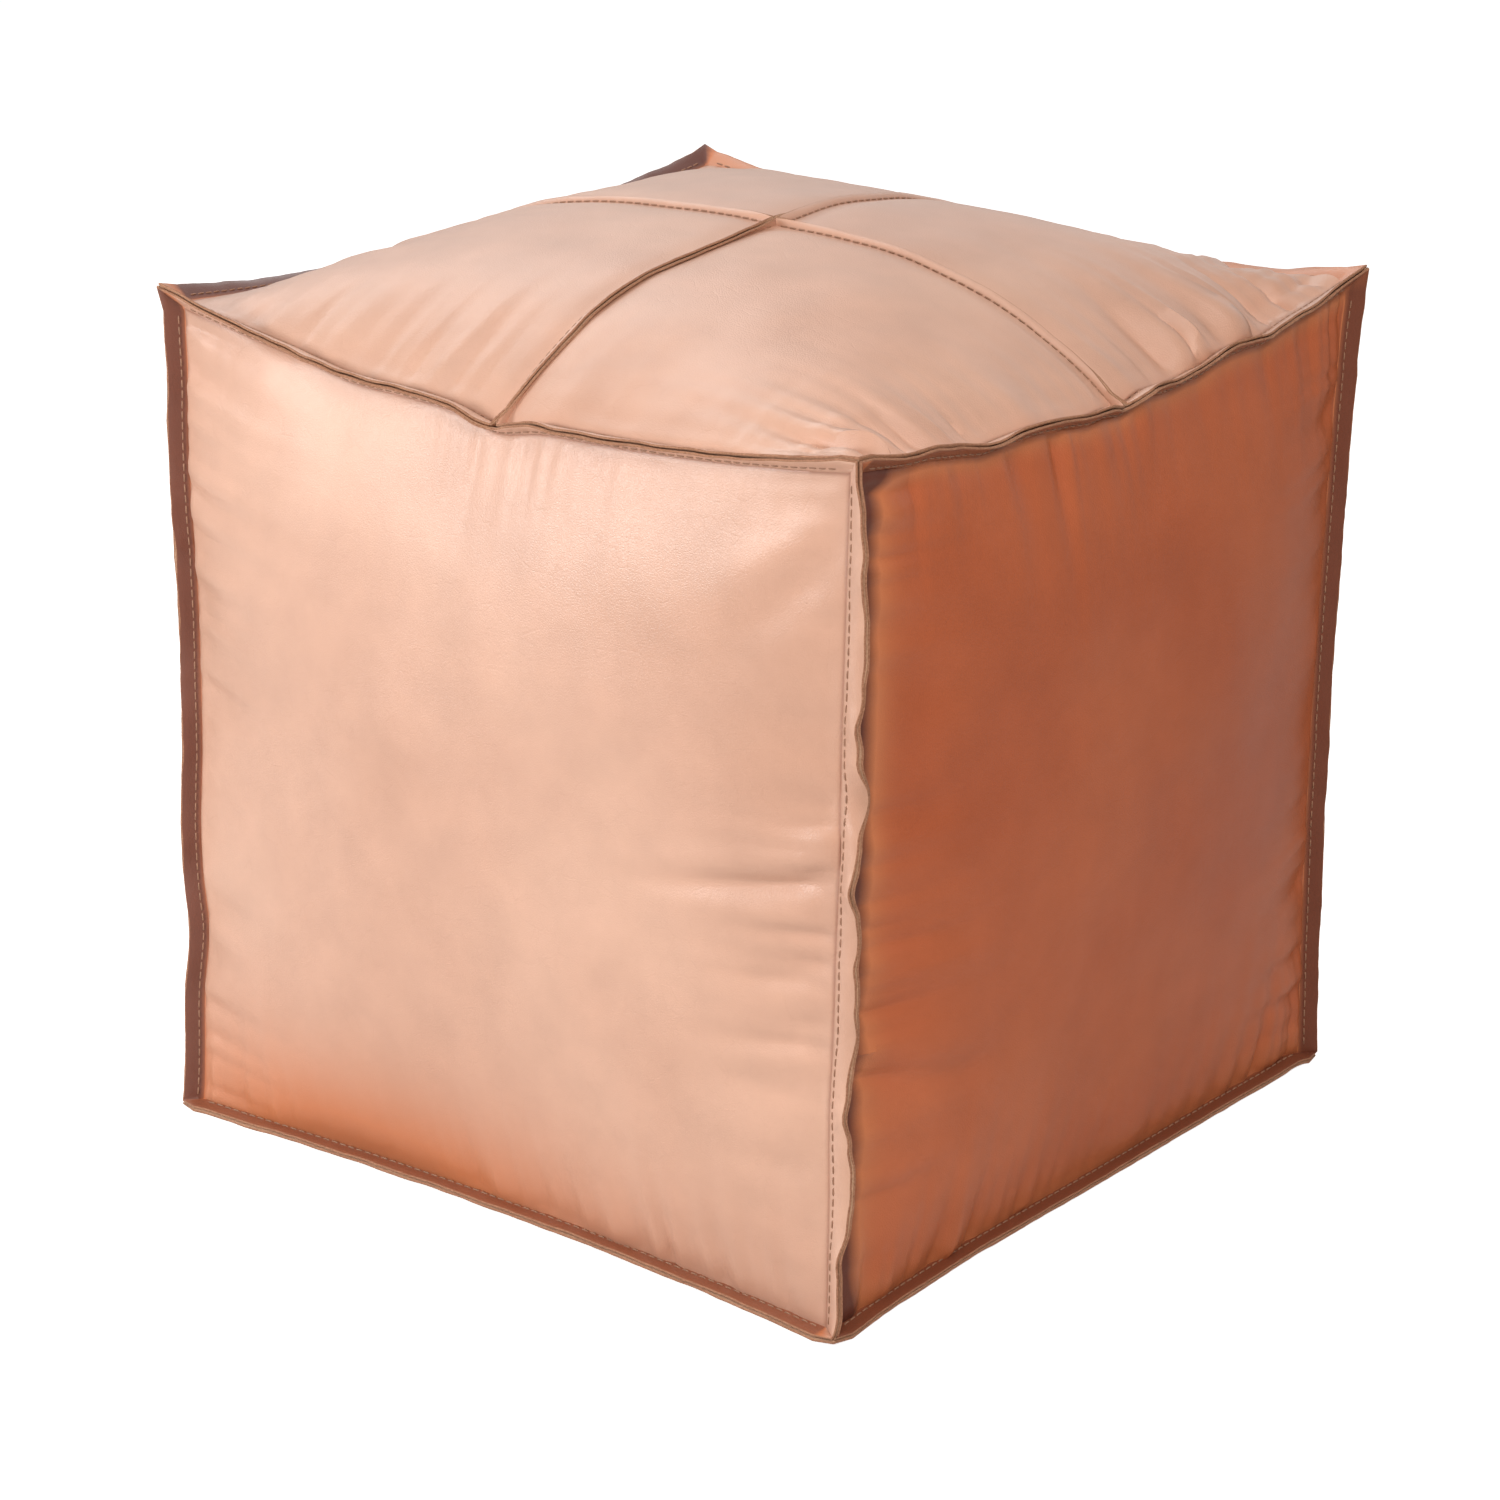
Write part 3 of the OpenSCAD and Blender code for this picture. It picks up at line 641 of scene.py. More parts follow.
# Painted shade in the side panels beside a seam: how dark, how far into the panel, and where along the seam
paintedShadeBeside = {
    ("corner0", -1): {"dark": 1.2, "width": 17 * mm, "at": 0, "length": 9},
    ("base0", 1): {"dark": 0.62, "width": 50 * mm, "at": -0.45, "length": 0.75},
    ("base1", 1): {"dark": 0.40, "width": 16 * mm, "at": 0, "length": 9},
    ("top1", 1): {"dark": 0.75, "width": 7 * mm, "at": 0, "length": 9},
}
crossShare = 2.4             # the cross seam's painted crease shade and rubbing are narrower by this
slant = allowance["edgeWidth"] / math.sqrt(2)


def wave(name, t, scale, seed):
    number = sum(ord(letter) for letter in name)
    return np.array([noise.noise(Vector((value * scale, number * 1.7, seed))) for value in t])


def seamAt(kind, k):
    k %= 4
    side, after = outward[k], outward[(k + 1) % 4]
    stand, lean = {
        "top": (side + axisZ, side - axisZ),
        "corner": (side + after, side - after),
        "base": (side, axisZ),
        "cross": (axisZ, turned(axisX, k)),
    }[kind]
    return kind + str(k), unit(stand), unit(lean)


def seamWidth(kind, k, t, layer):
    name, _, _ = seamAt(kind, k)
    width = allowance["crossWidth"] if kind == "cross" else allowance["edgeWidth"]
    broad, fine = (wave(name, t, scale, layer) for scale in allowance["raggedScales"])
    rag = allowance["ragged"] * (broad + allowance["raggedFine"] * fine)
    dip = allowance["notch"] * np.exp(-(t / allowance["notchLength"]) ** 2) if kind == "top" else 0
    return width + rag * (allowance["crossRagged"] if kind == "cross" else 1) - dip


def seamAngle(kind, k, t):
    name, _, _ = seamAt(kind, k)
    mean, swing = seamLean[name]
    ends = 2 * t + 1 if kind == "cross" else t
    broad, fine = (wave(name, t, scale, seed) for scale, seed in zip(allowance["leanScales"], (2, 4)))
    turn = mean + swing * (broad + allowance["leanFine"] * fine)
    if kind == "base":
        turn = np.abs(turn)
    return np.radians(turn) * (1 - np.abs(ends) ** allowance["endHold"])


def earTip(k, level):
    side, after = outward[k % 4], outward[(k + 1) % 4]
    droop = np.array(ears.get((k % 4, level), (0, 0, 0))) * mm
    return slant * (side + after + (axisZ if level == "top" else 0)) + droop


# Offsets of the ear tips where they curl, in mm
ears = {(3, "top"): (-2.5, -1, 2), (0, "base"): (1, -2, 1.5), (2, "top"): (0, 1, 2), (1, "top"): (1, 0, 2)}
# Rows across a seam allowance: share of its width, share of the pinch, share of the rounding
rowsAcross = [
    (0.14, 0, 0), (0.29, 0.4, 0), (0.375, 1, 0), (0.46, 0.4, 0), (0.7, 0, 0), (0.97, 0, 0), (1, 0, 1),
]
stitchedRow = 2


def both(a, b):
    return (a + b) / np.maximum(1 + np.sum(a * b, -1, keepdims=True), 0.6)


def allThree(a, b, c):
    return (np.cross(b, c) + np.cross(c, a) + np.cross(a, b)) / max(a @ np.cross(b, c), 0.4)


def rimRuns(rows, cols):
    return [
        [(0, j) for j in range(cols)],
        [(i, cols) for i in range(rows)],
        [(rows, j) for j in range(cols, 0, -1)],
        [(i, 0) for i in range(rows, 0, -1)],
    ]


def sheetObject(name, outer, inner, quads, cutQuads, marks, materials):
    count = len(outer)
    quads = np.array(quads)
    edges = np.concatenate([quads[:, [k, (k + 1) % 4]] for k in range(4)])
    code, reverse = edges[:, 0] * count + edges[:, 1], edges[:, 1] * count + edges[:, 0]
    opening = edges[~np.isin(code, reverse)]
    rim = np.stack([opening[:, 1], opening[:, 0], opening[:, 0] + count, opening[:, 1] + count], -1)
    faces = np.concatenate([quads, quads[:, ::-1] + count, rim])
    kinds = np.concatenate([np.where(cutQuads, 1, 0), np.where(cutQuads, 1, 2), np.ones(len(rim), int)])
    piece = meshObject(name, np.concatenate([outer, inner]), faces.tolist(), *materials)
    mesh = piece.data
    mesh.polygons.foreach_set("material_index", kinds.astype(np.int32))
    for mark, values in marks.items():
        onBothSides = np.tile(values, 2).astype(np.float32)
        mesh.attributes.new(mark, "FLOAT", "POINT").data.foreach_set("value", onBothSides)
    mesh.set_sharp_from_angle(angle=math.radians(55))
    return piece


def meshObject(name, points, faces, *materials, smooth=True):
    mesh = bpy.data.meshes.new(name)
    mesh.from_pydata(np.array(points, float).tolist(), [], faces)
    for material in materials:
        mesh.materials.append(material)
    mesh.polygons.foreach_set("use_smooth", np.full(len(faces), smooth))
    return addObject(name, mesh)


def addObject(name, mesh):
    piece = bpy.data.objects.new(name, mesh)
    bpy.context.scene.collection.objects.link(piece)
    return piece


stitchLines = {"threadTopCross": [], "threadTopEdges": [], "threadCorners": [], "threadBaseEdges": []}
threadOf = {
    "top": "threadTopEdges", "corner": "threadCorners", "base": "threadBaseEdges", "cross": "threadTopCross",
}


def sewnRing(rows, cols, runs, tips):
    ring = []
    corners = rimRuns(rows, cols)
    for number, run in enumerate(runs):
        if run is None:
            continue
        cellsAlong = corners[number]
        if runs[(number + 1) % 4] is None:
            cellsAlong = cellsAlong + [corners[(number + 1) % 4][0]]
        for place, cell in enumerate(cellsAlong):
            before = runs[number - 1] if place == 0 else None
            ring.append({"cell": cell, "run": run, "before": before, "tip": tips[number]})
    return ring


def flangeRow(ring, grid, share, pinch, rounding):
    outer, inner, facing = [], [], []
    for place in ring:
        kind, k, layer, _ = place["run"]
        _, stand, lean = seamAt(kind, k)
        if place["before"] is not None:
            otherKind, otherK, otherLayer, _ = place["before"]
            _, _, otherLean = seamAt(otherKind, otherK)
            face = both(otherLayer * otherLean, layer * lean)
            offset = share * place["tip"]
        else:
            angle = place["angle"] * share
            face = layer * (lean * math.cos(angle) - stand * math.sin(angle))
            offset = share * place["width"] * (stand * math.cos(angle) + lean * math.sin(angle))
        beyond = max(0, (share - allowance["splayFrom"]) / (1 - allowance["splayFrom"]))
        off = allowance["splay"] * beyond ** 2 * place["gape"] - allowance["skived"] * leatherT * beyond
        root = grid[place["cell"]] + offset
        edge = rounding * allowance["round"]
        outer.append(root + face * (lie + leatherT + off - pinch * allowance["pinch"] - edge))
        inner.append(root + face * (lie + allowance["splay"] * beyond ** 2 * place["gape"] + edge))
        facing.append(face)
    return outer, inner, facing


def leatherSheet(name, hide, grid, runs, tips, hem=None):
    rows, cols = grid.shape[0] - 1, grid.shape[1] - 1
    shift = normalsOf(grid)
    ring = sewnRing(rows, cols, runs, tips)
    for place in ring:
        kind, k, layer, along = place["run"]
        label, _, lean = seamAt(kind, k)
        # painted shade on this allowance
        place["paintedShade"] = seamPaintedShade.get(label, seamPaintedShade.get((label, layer), 0))
        t = np.array([along(*place["cell"])])
        place["width"] = seamWidth(kind, k, t, layer)[0]
        place["angle"] = seamAngle(kind, k, t)[0]
        place["gape"] = allowance["gape"] + wave(label, t, 7, layer + 3)[0]
        normal = shift[place["cell"]]
        if place["before"] is None:
            shift[place["cell"]] = both(normal, layer * lean)
        else:
            otherKind, otherK, otherLayer, _ = place["before"]
            shift[place["cell"]] = allThree(normal, otherLayer * seamAt(otherKind, otherK)[2], layer * lean)
    sewn = [grid[0], grid[:, -1:], grid[-1], grid[:, :1]]
    distance = np.min([np.linalg.norm(grid - edge, axis=-1) * (crossShare if run[0] == "cross" else 1)
                       for edge, run in zip(sewn, runs) if run], axis=0)
    outer = list((grid + (lie + leatherT) * shift).reshape(-1, 3))
    inner = list((grid + lie * shift).reshape(-1, 3))
    reach = list(np.maximum(-distance / allowance["edgeWidth"], -1).ravel())
    # painted shade on the panel beside some seams
    paintedShade = np.zeros(len(reach))
    for edge, run, t in zip(sewn, runs, (colSteps, rowSteps, colSteps, rowSteps)):
        mark = paintedShadeBeside.get((run[0] + str(run[1] % 4), run[2])) if run else None
        if mark:
            beside = np.min(np.linalg.norm(grid[:, :, None] - edge.reshape(-1, 3), axis=-1), -1)
            share = np.exp(-(beside / mark["width"]) ** 2 - ((t - mark["at"]) / mark["length"]) ** 2)
            paintedShade += (mark["dark"] * share).ravel()
    paintedShade = list(paintedShade)
    index = np.arange(len(outer)).reshape(rows + 1, cols + 1)
    quads, cut = [gridQuads(index)], [np.zeros(rows * cols, bool)]
    loop = np.array([index[place["cell"]] for place in ring])
    if None not in runs:
        loop = np.append(loop, loop[0])
    for number, (share, pinch, rounding) in enumerate(rowsAcross):
        rowOuter, rowInner, facing = flangeRow(ring, grid, share, pinch, rounding)
        following = np.arange(len(ring)) + len(outer)
        if None not in runs:
            following = np.append(following, following[0])
        quads.append(gridQuads(np.stack([following, loop])))
        cut.append(np.full(len(following) - 1, rounding > 0))
        outer += rowOuter
        inner += rowInner
        reach += [share / crossShare if place["run"][0] == "cross" else share for place in ring]
        # the allowance's painted shade rises across its first rows from the seam
        paintedShade += [place["paintedShade"] * min(1, allowance["paintedShadeFrom"] * share) for place in ring]
        loop = following
        if number == stitchedRow:
            collectStitchLines(ring, rowOuter, facing)
    if hem is not None:
        hemOuter, hemInner, columns = hem
        hemIndex = np.arange(hemOuter[..., 0].size).reshape(hemOuter.shape[:2]) + len(outer)
        quads.append(gridQuads(np.concatenate([hemIndex, index[:1, columns]])))
        cut.append(np.zeros(len(quads[-1]), bool))
        outer += list(hemOuter.reshape(-1, 3))
        inner += list(hemInner.reshape(-1, 3))
        reach += [-1] * hemIndex.size
        paintedShade += [0] * hemIndex.size
    outer, inner = np.array(outer), np.array(inner)
    for points in (outer, inner):
        points[:, 2] = np.maximum(points[:, 2], 0)     # nothing under the floor
    return sheetObject(name, outer, inner, np.concatenate(quads), np.concatenate(cut),
                       {"reach": reach, "paintedShade": paintedShade}, leatherSkins[hide])


def collectStitchLines(ring, points, facing):
    lines = {}
    for place, point, face in zip(ring, points, facing):
        kind, k, layer, _ = place["run"]
        if place["before"] is None and not (kind == "base" and layer < 0):
            lines.setdefault((kind, k, layer), []).append((point, face))
    for (kind, _, _), line in lines.items():
        stitchLines[threadOf[kind]].append(line)


def sidePanel(k, name, hide, cadNode):
    runs = [
        ("base", k, 1, lambda i, j: steps[j]),
        ("corner", k, 1, lambda i, j: steps[i]),
        ("top", k, 1, lambda i, j: steps[j]),
        ("corner", k - 1, -1, lambda i, j: steps[i]),
    ]
    tips = [earTip(k - 1, "base"), earTip(k, "base"), earTip(k, "top"), earTip(k - 1, "top")]
    return finishPiece(leatherSheet(name, hide, surface[k], runs, tips), "cover", "tan_leather", cadNode)


def topQuarter(k, name, cadNode):
    grid = np.rot90(surface[topFace], k)[:halfCells + 1, halfCells:]
    runs = [
        ("top", k, -1, lambda i, j: steps[halfCells + j]),
        ("top", k + 1, -1, lambda i, j: steps[i]),
        ("cross", k + 1, -1, lambda i, j: -steps[halfCells + j]),
        ("cross", k, 1, lambda i, j: steps[i]),
    ]
    folded = allowance["edgeWidth"] - allowance["notch"]
    tips = [folded * seamAt("top", k)[1], earTip(k, "top"), folded * seamAt("top", k + 1)[1],
            allowance["crossWidth"] * axisZ]
    # the top quarters get the paler copy, painted light
    return finishPiece(leatherSheet(name, "pale", grid, runs, tips), "cover", "tan_leather", cadNode)


hem = {
    "width": 18 * mm,
    "windowHalf": 5.5 * mm,  # the two folds stand this far from the middle beside the zip
    "windowLength": 350 * mm,
    "taper": 9 * mm,         # length over which the window closes at its ends
    "length": 391 * mm,
    "shut": 14 * mm,         # length over which the folds are pressed together at each end
    "pressed": 0.96,         # share of the fold's bend that is pressed flat at the very end
    "foldRows": 6,
    "backRows": [0.15, 0.4, 0.7, 1.0],
    "flesh": 0.08 * mm,      # gap between the two flesh sides
}


def baseHalf(k, name, cadNode):
    grid = turned(np.rot90(surface[baseFace], k)[halfCells:], -k)
    x = grid[0, :, 0]
    opening = np.clip((hem["windowLength"] / 2 + hem["taper"] - np.abs(x)) / hem["taper"], 0, 1)
    crest = lie + (hem["windowHalf"] - lie) * opening ** 2 * (3 - 2 * opening)
    columns = np.flatnonzero(np.abs(x) <= hem["length"] / 2)
    first, last = columns[[0, -1]]
    nearest = np.minimum(np.abs(x[columns] - x[first]), np.abs(x[columns] - x[last]))
    nearEnd = np.clip(1 - nearest / hem["shut"], 0, 1)
    bend = leatherT * (1 - hem["pressed"] * nearEnd ** 2)
    fold = np.full_like(x, lie)
    fold[columns] = crest[columns] + bend
    share = steps[halfCells:, None]
    grid[..., 1] -= fold * (1 - share) ** 3
    middle = np.stack([x[columns], -crest[columns] - leatherT, np.full_like(bend, leatherT)], -1)
    angles = np.linspace(-90, 90, hem["foldRows"])[1:]
    outer, inner = [], []
    for angle in np.radians(angles):
        rolled = leatherT + bend * (math.cos(angle) - 1)
        outer.append(middle + np.stack([0 * bend, rolled, 0 * bend + leatherT * math.sin(angle)], -1))
        inner.append(middle + hem["flesh"] * np.array([0, math.cos(angle), math.sin(angle)]))
    for back in hem["backRows"]:
        away = np.array([0, -back * (hem["width"] - leatherT), 0])
        outer.append(middle + away + leatherT * axisZ)
        inner.append(middle + away + hem["flesh"] * axisZ)
    runs = [
        None,
        ("base", k + 1, -1, lambda i, j: -steps[halfCells + i]),
        ("base", k, -1, lambda i, j: steps[j]),
        ("base", k - 1, -1, lambda i, j: steps[halfCells + i]),
    ]
    tips = [None, None, earTip(k, "base"), earTip(k - 1, "base")]
    strip = (turned(outer[::-1], k), turned(inner[::-1], k), columns)
    sheet = leatherSheet(name, "warm", turned(grid, k), runs, tips, strip)
    return finishPiece(sheet, "cover", "tan_leather", cadNode)


def finishPiece(piece, body, slot, *cadNodes):
    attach(piece, body)
    if cadNodes:
        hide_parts(*cadNodes)
    return piece


sideNames = ["front", "right", "back", "left"]
# the front gets the paler copy as painted light and the right side the deeper copy as painted shade
sideHideCopiesByLight = ["pale", "deep", "warm", "warm"]
quarterNames = ["front_right", "back_right", "back_left", "front_left"]
for k, label in enumerate(sideNames):
    panel = sidePanel(k, "sidePanel" + label.capitalize(), sideHideCopiesByLight[k], "side_panel_" + label)
for k, label in enumerate(quarterNames):
    words = "".join(word.capitalize() for word in label.split("_"))
    topQuarter(k, "topQuarter" + words, "top_quarter_" + label)
baseHalf(0, "baseHalfFront", "base_half_front")
baseHalf(2, "baseHalfBack", "base_half_back")
print("leather panels sewn")

# Stitches

stitch = {
    "pitch": 5.5 * mm,
    "length": 4.3 * mm,
    "radius": 0.42 * mm,
    "sides": 6,
    "endMargin": 3 * mm,     # left free over each seam, half at each end
    "pathStep": 5 * mm,
    # along each stitch: share of its half length, height in radii above the leather, share of the radius
    "stations": [(-1, -0.7, 0.7), (-0.72, 0.35, 1), (0, 0.6, 1), (0.72, 0.35, 1), (1, -0.7, 0.7)],
    "dark": (0.21, 0.105, 0.062, 1),
    "light": (0.36, 0.200, 0.125, 1),
}


def twistedThread():
    material, nodes, place = newMaterial("waxedThread")
    strands = {"Vector": nodes.inMillimetres(place["Object"]), "Scale": 0.9, "Distortion": 1.5}
    twist = nodes.add("TexWave", strands, bands_direction="DIAGONAL").outputs["Fac"]
    color = nodes.mix(twist, stitch["dark"], stitch["light"])
    return shaded(material, nodes, {"Base Color": color, "Roughness": 0.55}, (twist, 0.5, 0.1 * mm))


def pointAlong(at, length, path):
    return np.array([np.interp(at, length, path[:, axis]) for axis in range(3)])


def stitchObject(name, lines, material):
    points, faces = [], []
    sides = stitch["sides"]
    for line in lines:
        path = np.array([p for p, _ in line])
        facing = np.array([f for _, f in line])
        length = np.append(0, np.cumsum(np.linalg.norm(np.diff(path, axis=0), axis=1)))
        count = int((length[-1] - stitch["endMargin"]) / stitch["pitch"])
        start = (length[-1] - (count - 1) * stitch["pitch"]) / 2
        for number in range(count):
            centre = start + number * stitch["pitch"]
            first = len(points)
            for away, height, size in stitch["stations"]:
                at = centre + away * stitch["length"] / 2
                up = unit(pointAlong(at, length, facing))
                ahead = pointAlong(at + mm, length, path) - pointAlong(at - mm, length, path)
                across = unit(np.cross(ahead, up))
                spot = pointAlong(at, length, path) + up * height * stitch["radius"]
                for corner in range(sides):
                    angle = math.tau * corner / sides
                    around = math.cos(angle) * across + math.sin(angle) * up
                    points.append(spot + stitch["radius"] * size * around)
            for ring in range(len(stitch["stations"]) - 1):
                for corner in range(sides):
                    a, b = first + ring * sides + corner, first + ring * sides + (corner + 1) % sides
                    faces.append((a, a + sides, b + sides, b))
            last = first + (len(stitch["stations"]) - 1) * sides
            faces.append(tuple(first + corner for corner in range(sides)))
            faces.append(tuple(last + sides - 1 - corner for corner in range(sides)))
    return meshObject(name, points, faces, material)


waxedThread = twistedThread()
for name, cadNode in (("threadTopCross", "thread_top_cross"), ("threadTopEdges", "thread_top_edges"),
                      ("threadCorners", "thread_corners"), ("threadBaseEdges", "thread_base_edges")):
    finishPiece(stitchObject(name, stitchLines[name], waxedThread), "cover", "sewing_thread", cadNode)
print("stitches laid")

# Inner bag and filling

bag = {
    "gap": 1.4 * mm,         # under the leather
    "thick": 0.8 * mm,
    "coarse": 3,             # every third point of the cover is enough
    "aboveHem": 0.4 * mm,
    "rideFrom": 6,           # its base starts to rise this far from the middle, in heights of the hem
    "rideOver": 2,           # length over which it rises, in heights of the hem
    "thread": 0.55,          # width of a thread of the calico, in mm
    "gapShade": 0.35,
    "calicoDark": (0.52, 0.45, 0.33, 1),
    "calicoLight": (0.78, 0.72, 0.60, 1),
}
stuffing = {
    "depth": 5.5 * mm,       # under the cover
    "coarse": 4,
    "lumps": 2.0 * mm,
    "lumpScale": 45.0,
    "fill": 0.9,
    "dark": (0.74, 0.71, 0.64, 1),
    "light": (0.88, 0.87, 0.83, 1),
}
vertexNormals = np.stack([normalsOf(surface[face]) for face in range(6)])
normalSum = np.zeros((len(firstShared), 3))
np.add.at(normalSum, sharedIndex.ravel(), vertexNormals.reshape(-1, 3))
meanNormals = unit(normalSum)[sharedIndex]
mitre = 1 / np.maximum(np.sum(meanNormals * vertexNormals, -1, keepdims=True), 0.5)
inwards = -(meanNormals * mitre).reshape(-1, 3)[firstShared][sharedIndex]
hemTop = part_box("thread_zip")[1].z


def wovenCalico():
    material, nodes, place = newMaterial("calico")
    weave = nodes.group(weaveGroup, {"Vector": place["UV"], "Thread Width": bag["thread"]})
    tone = toned(nodes, place["Object"], 0.1, bag["calicoDark"], bag["calicoLight"], bag["calicoLight"])
    gaps = nodes.ramp(weave["Gaps"], 0.0, 1.0, bag["gapShade"], 0.0)
    color = nodes.mix(gaps, tone["Color"], bag["calicoDark"])
    return shaded(material, nodes, {"Base Color": color, "Roughness": 0.9}, (weave["Height"], 0.6, 0.15 * mm))


def layFlat(mesh, across, up):
    uv = mesh.uv_layers.new(name="panel")
    corners = np.empty(len(mesh.loops), np.int32)
    mesh.loops.foreach_get("vertex_index", corners)
    flat = np.stack([across.ravel(), up.ravel()], -1)
    uv.data.foreach_set("uv", np.tile(flat, (2, 1))[corners].ravel().astype(np.float32))


def bagPanel(face, name, cadNode):
    step = bag["coarse"]
    points = surface[face] + bag["gap"] * inwards[face]
    within = surface[face] + (bag["gap"] + bag["thick"]) * inwards[face]
    if face == baseFace:     # the base of the bag rides over the hem and the zip
        for layer, extra in ((points, 0), (within, bag["thick"])):
            across = np.abs(layer[..., 1])
            over = np.clip((hemTop * bag["rideFrom"] - across) / (hemTop * bag["rideOver"]), 0, 1)
            over = over * over * (3 - 2 * over)
            level = seamFloor + bag["gap"] + extra
            layer[..., 2] = level + over * (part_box("zip_slider")[1].z + bag["aboveHem"] + extra - level)
    points, within = points[::step, ::step], within[::step, ::step]
    index = np.arange(points[..., 0].size).reshape(points.shape[:2])
    piece = sheetObject(name, points.reshape(-1, 3), within.reshape(-1, 3), gridQuads(index),
                        np.zeros((index.shape[0] - 1) * (index.shape[1] - 1), bool),
                        {}, [calico, calico, calico])
    layFlat(piece.data, (colSteps * seamHalf)[::step, ::step], (rowSteps * seamHalf)[::step, ::step])
    return finishPiece(piece, "cover", "calico", cadNode)


def stuffedFilling():
    step = stuffing["coarse"]
    first, index = sharedVertices(cubeGrid[:, ::step, ::step])
    points = (surface + stuffing["depth"] * inwards)[:, ::step, ::step].reshape(-1, 3)[first]
    into = inwards[:, ::step, ::step].reshape(-1, 3)[first]
    for number, point in enumerate(points):
        lump = 1 + noise.noise(Vector(point) * stuffing["lumpScale"])
        points[number] += into[number] * stuffing["lumps"] * lump
    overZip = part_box("bag_base")[1].z + bag["aboveHem"] + bag["thick"]
    points[:, 2] = np.maximum(points[:, 2], overZip)
    fibre = fibrousMaterial("looseFibre", stuffing["dark"], stuffing["light"], 260, 0.95, 0.8 * mm)
    quads = np.concatenate([gridQuads(index[face]) for face in range(6)]).tolist()
    return finishPiece(meshObject("stuffedFilling", points, quads, fibre), "cover", "fibre", "filling")


calico = wovenCalico()
for face, label in enumerate(sideNames):
    bagPanel(face, "bagSide" + label.capitalize(), "bag_side_" + label)
bagPanel(topFace, "bagTop", "bag_top")
bagPanel(baseFace, "bagBase", "bag_base")
stuffedFilling()
print("bag and filling made")

# Zip

zipper = {
    "bevel": 0.18 * mm,
    "toothPitch": 4.0 * mm,
    "toothLength": 2.0 * mm,
    "bead": 1.0 * mm,        # the teeth are moulded on a bead this wide
    "beadHeight": 0.8,       # in heights of a tooth
    "toothRoot": 0.1 * mm,   # how deep a tooth sits in the bead
    "toothTip": 0.7,         # width of its tip in widths of its root
    "tapeRound": 0.25 * mm,
    "tapeCells": 90,
    "brassDark": (0.30, 0.19, 0.075, 1),
    "brassLight": (0.66, 0.47, 0.21, 1),
    "tapeDark": (0.045, 0.022, 0.013, 1),
    "tapeLight": (0.13, 0.066, 0.038, 1),
}


def tumbledBrass():
    material, nodes, place = newMaterial("tumbledBrass")
    dark, light = zipper["brassDark"], zipper["brassLight"]
    tone = toned(nodes, place["Object"], 0.004, dark, light, light)
    rough = nodes.ramp(tone["Patches"], 0.0, 1.0, 0.5, 0.22)
    scratches = nodes.noise(place["Object"], 2500.0)
    return shaded(material, nodes, {"Base Color": tone["Color"], "Metallic": 1, "Roughness": rough},
                  (scratches, 0.2, 0.03 * mm))


def wovenTape():
    material, nodes, place = newMaterial("zipTape")
    height = nodes.group(weaveGroup, {"Vector": place["Object"], "Thread Width": 0.45})["Height"]
    color = nodes.mix(height, zipper["tapeDark"], zipper["tapeLight"])
    return shaded(material, nodes, {"Base Color": color, "Roughness": 0.85}, (height, 0.7, 0.15 * mm))


def tapePiece(name, cadNode):
    low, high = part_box(cadNode)
    rounded = zipper["tapeRound"]
    profile = []
    for y, z, start in ((high.y, high.z, 0), (low.y, high.z, 90), (low.y, low.z, 180), (high.y, low.z, 270)):
        for angle in (0, 45, 90):
            turn = math.radians(start + angle)
            towardY = -1 if y == high.y else 1
            towardZ = -1 if z == high.z else 1
            profile.append((y + towardY * rounded + rounded * math.cos(turn),
                            z + towardZ * rounded + rounded * math.sin(turn)))
    points, count = [], len(profile)
    for x in np.linspace(low.x, high.x, zipper["tapeCells"] + 1):
        for y, z in profile:
            points.append((x, y, z))
    faces = [tuple(range(count))[::-1], tuple(range(len(points) - count, len(points)))]
    for cell in range(zipper["tapeCells"]):
        for corner in range(count):
            a, b = cell * count + corner, cell * count + (corner + 1) % count
            faces.append((a, b, b + count, a + count))
    return finishPiece(meshObject(name, points, faces, tapeCloth, smooth=False), "cover", "zip_tape", cadNode)


def blockInto(points, faces, low, high, narrow=1.0):   # a block whose far end along Y may be narrower
    first = len(points)
    middle = (low[0] + high[0]) / 2
    for z in (low[2], high[2]):
        for y, share in ((low[1], 1.0), (high[1], narrow)):
            for x in (low[0], high[0]):
                points.append((middle + (x - middle) * share, y, z))
    for a, b, c, d in ((0, 2, 3, 1), (4, 5, 7, 6), (0, 1, 5, 4), (2, 6, 7, 3), (0, 4, 6, 2), (1, 3, 7, 5)):
        faces.append((first + a, first + b, first + c, first + d))


def teethPiece(name, cadNode, turns):
    low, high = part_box(cadNode)
    flip = 1 if turns == 0 else -1
    near, far = min(abs(low.y), abs(high.y)), max(abs(low.y), abs(high.y))
    middle, tall = (low.z + high.z) / 2, (high.z - low.z) / 2
    points, faces = [], []
    rise = tall * zipper["beadHeight"]
    blockInto(points, faces, (low.x, -far, middle - rise), (high.x, -far + zipper["bead"], middle + rise))
    count = int((high.x - low.x) / zipper["toothPitch"])
    half = zipper["toothLength"] / 2
    for number in range(count):
        x = (number + 0.25 * (1 + flip) - count / 2) * zipper["toothPitch"] + half / 2
        root, tip = (x - half, -far + zipper["toothRoot"], middle - tall), (x + half, -near, middle + tall)
        blockInto(points, faces, root, tip, zipper["toothTip"])
    piece = meshObject(name, turned(points, turns), faces, brass)
    softenEdges(piece, zipper["bevel"])
    return finishPiece(piece, "cover", "zip_brass", cadNode)


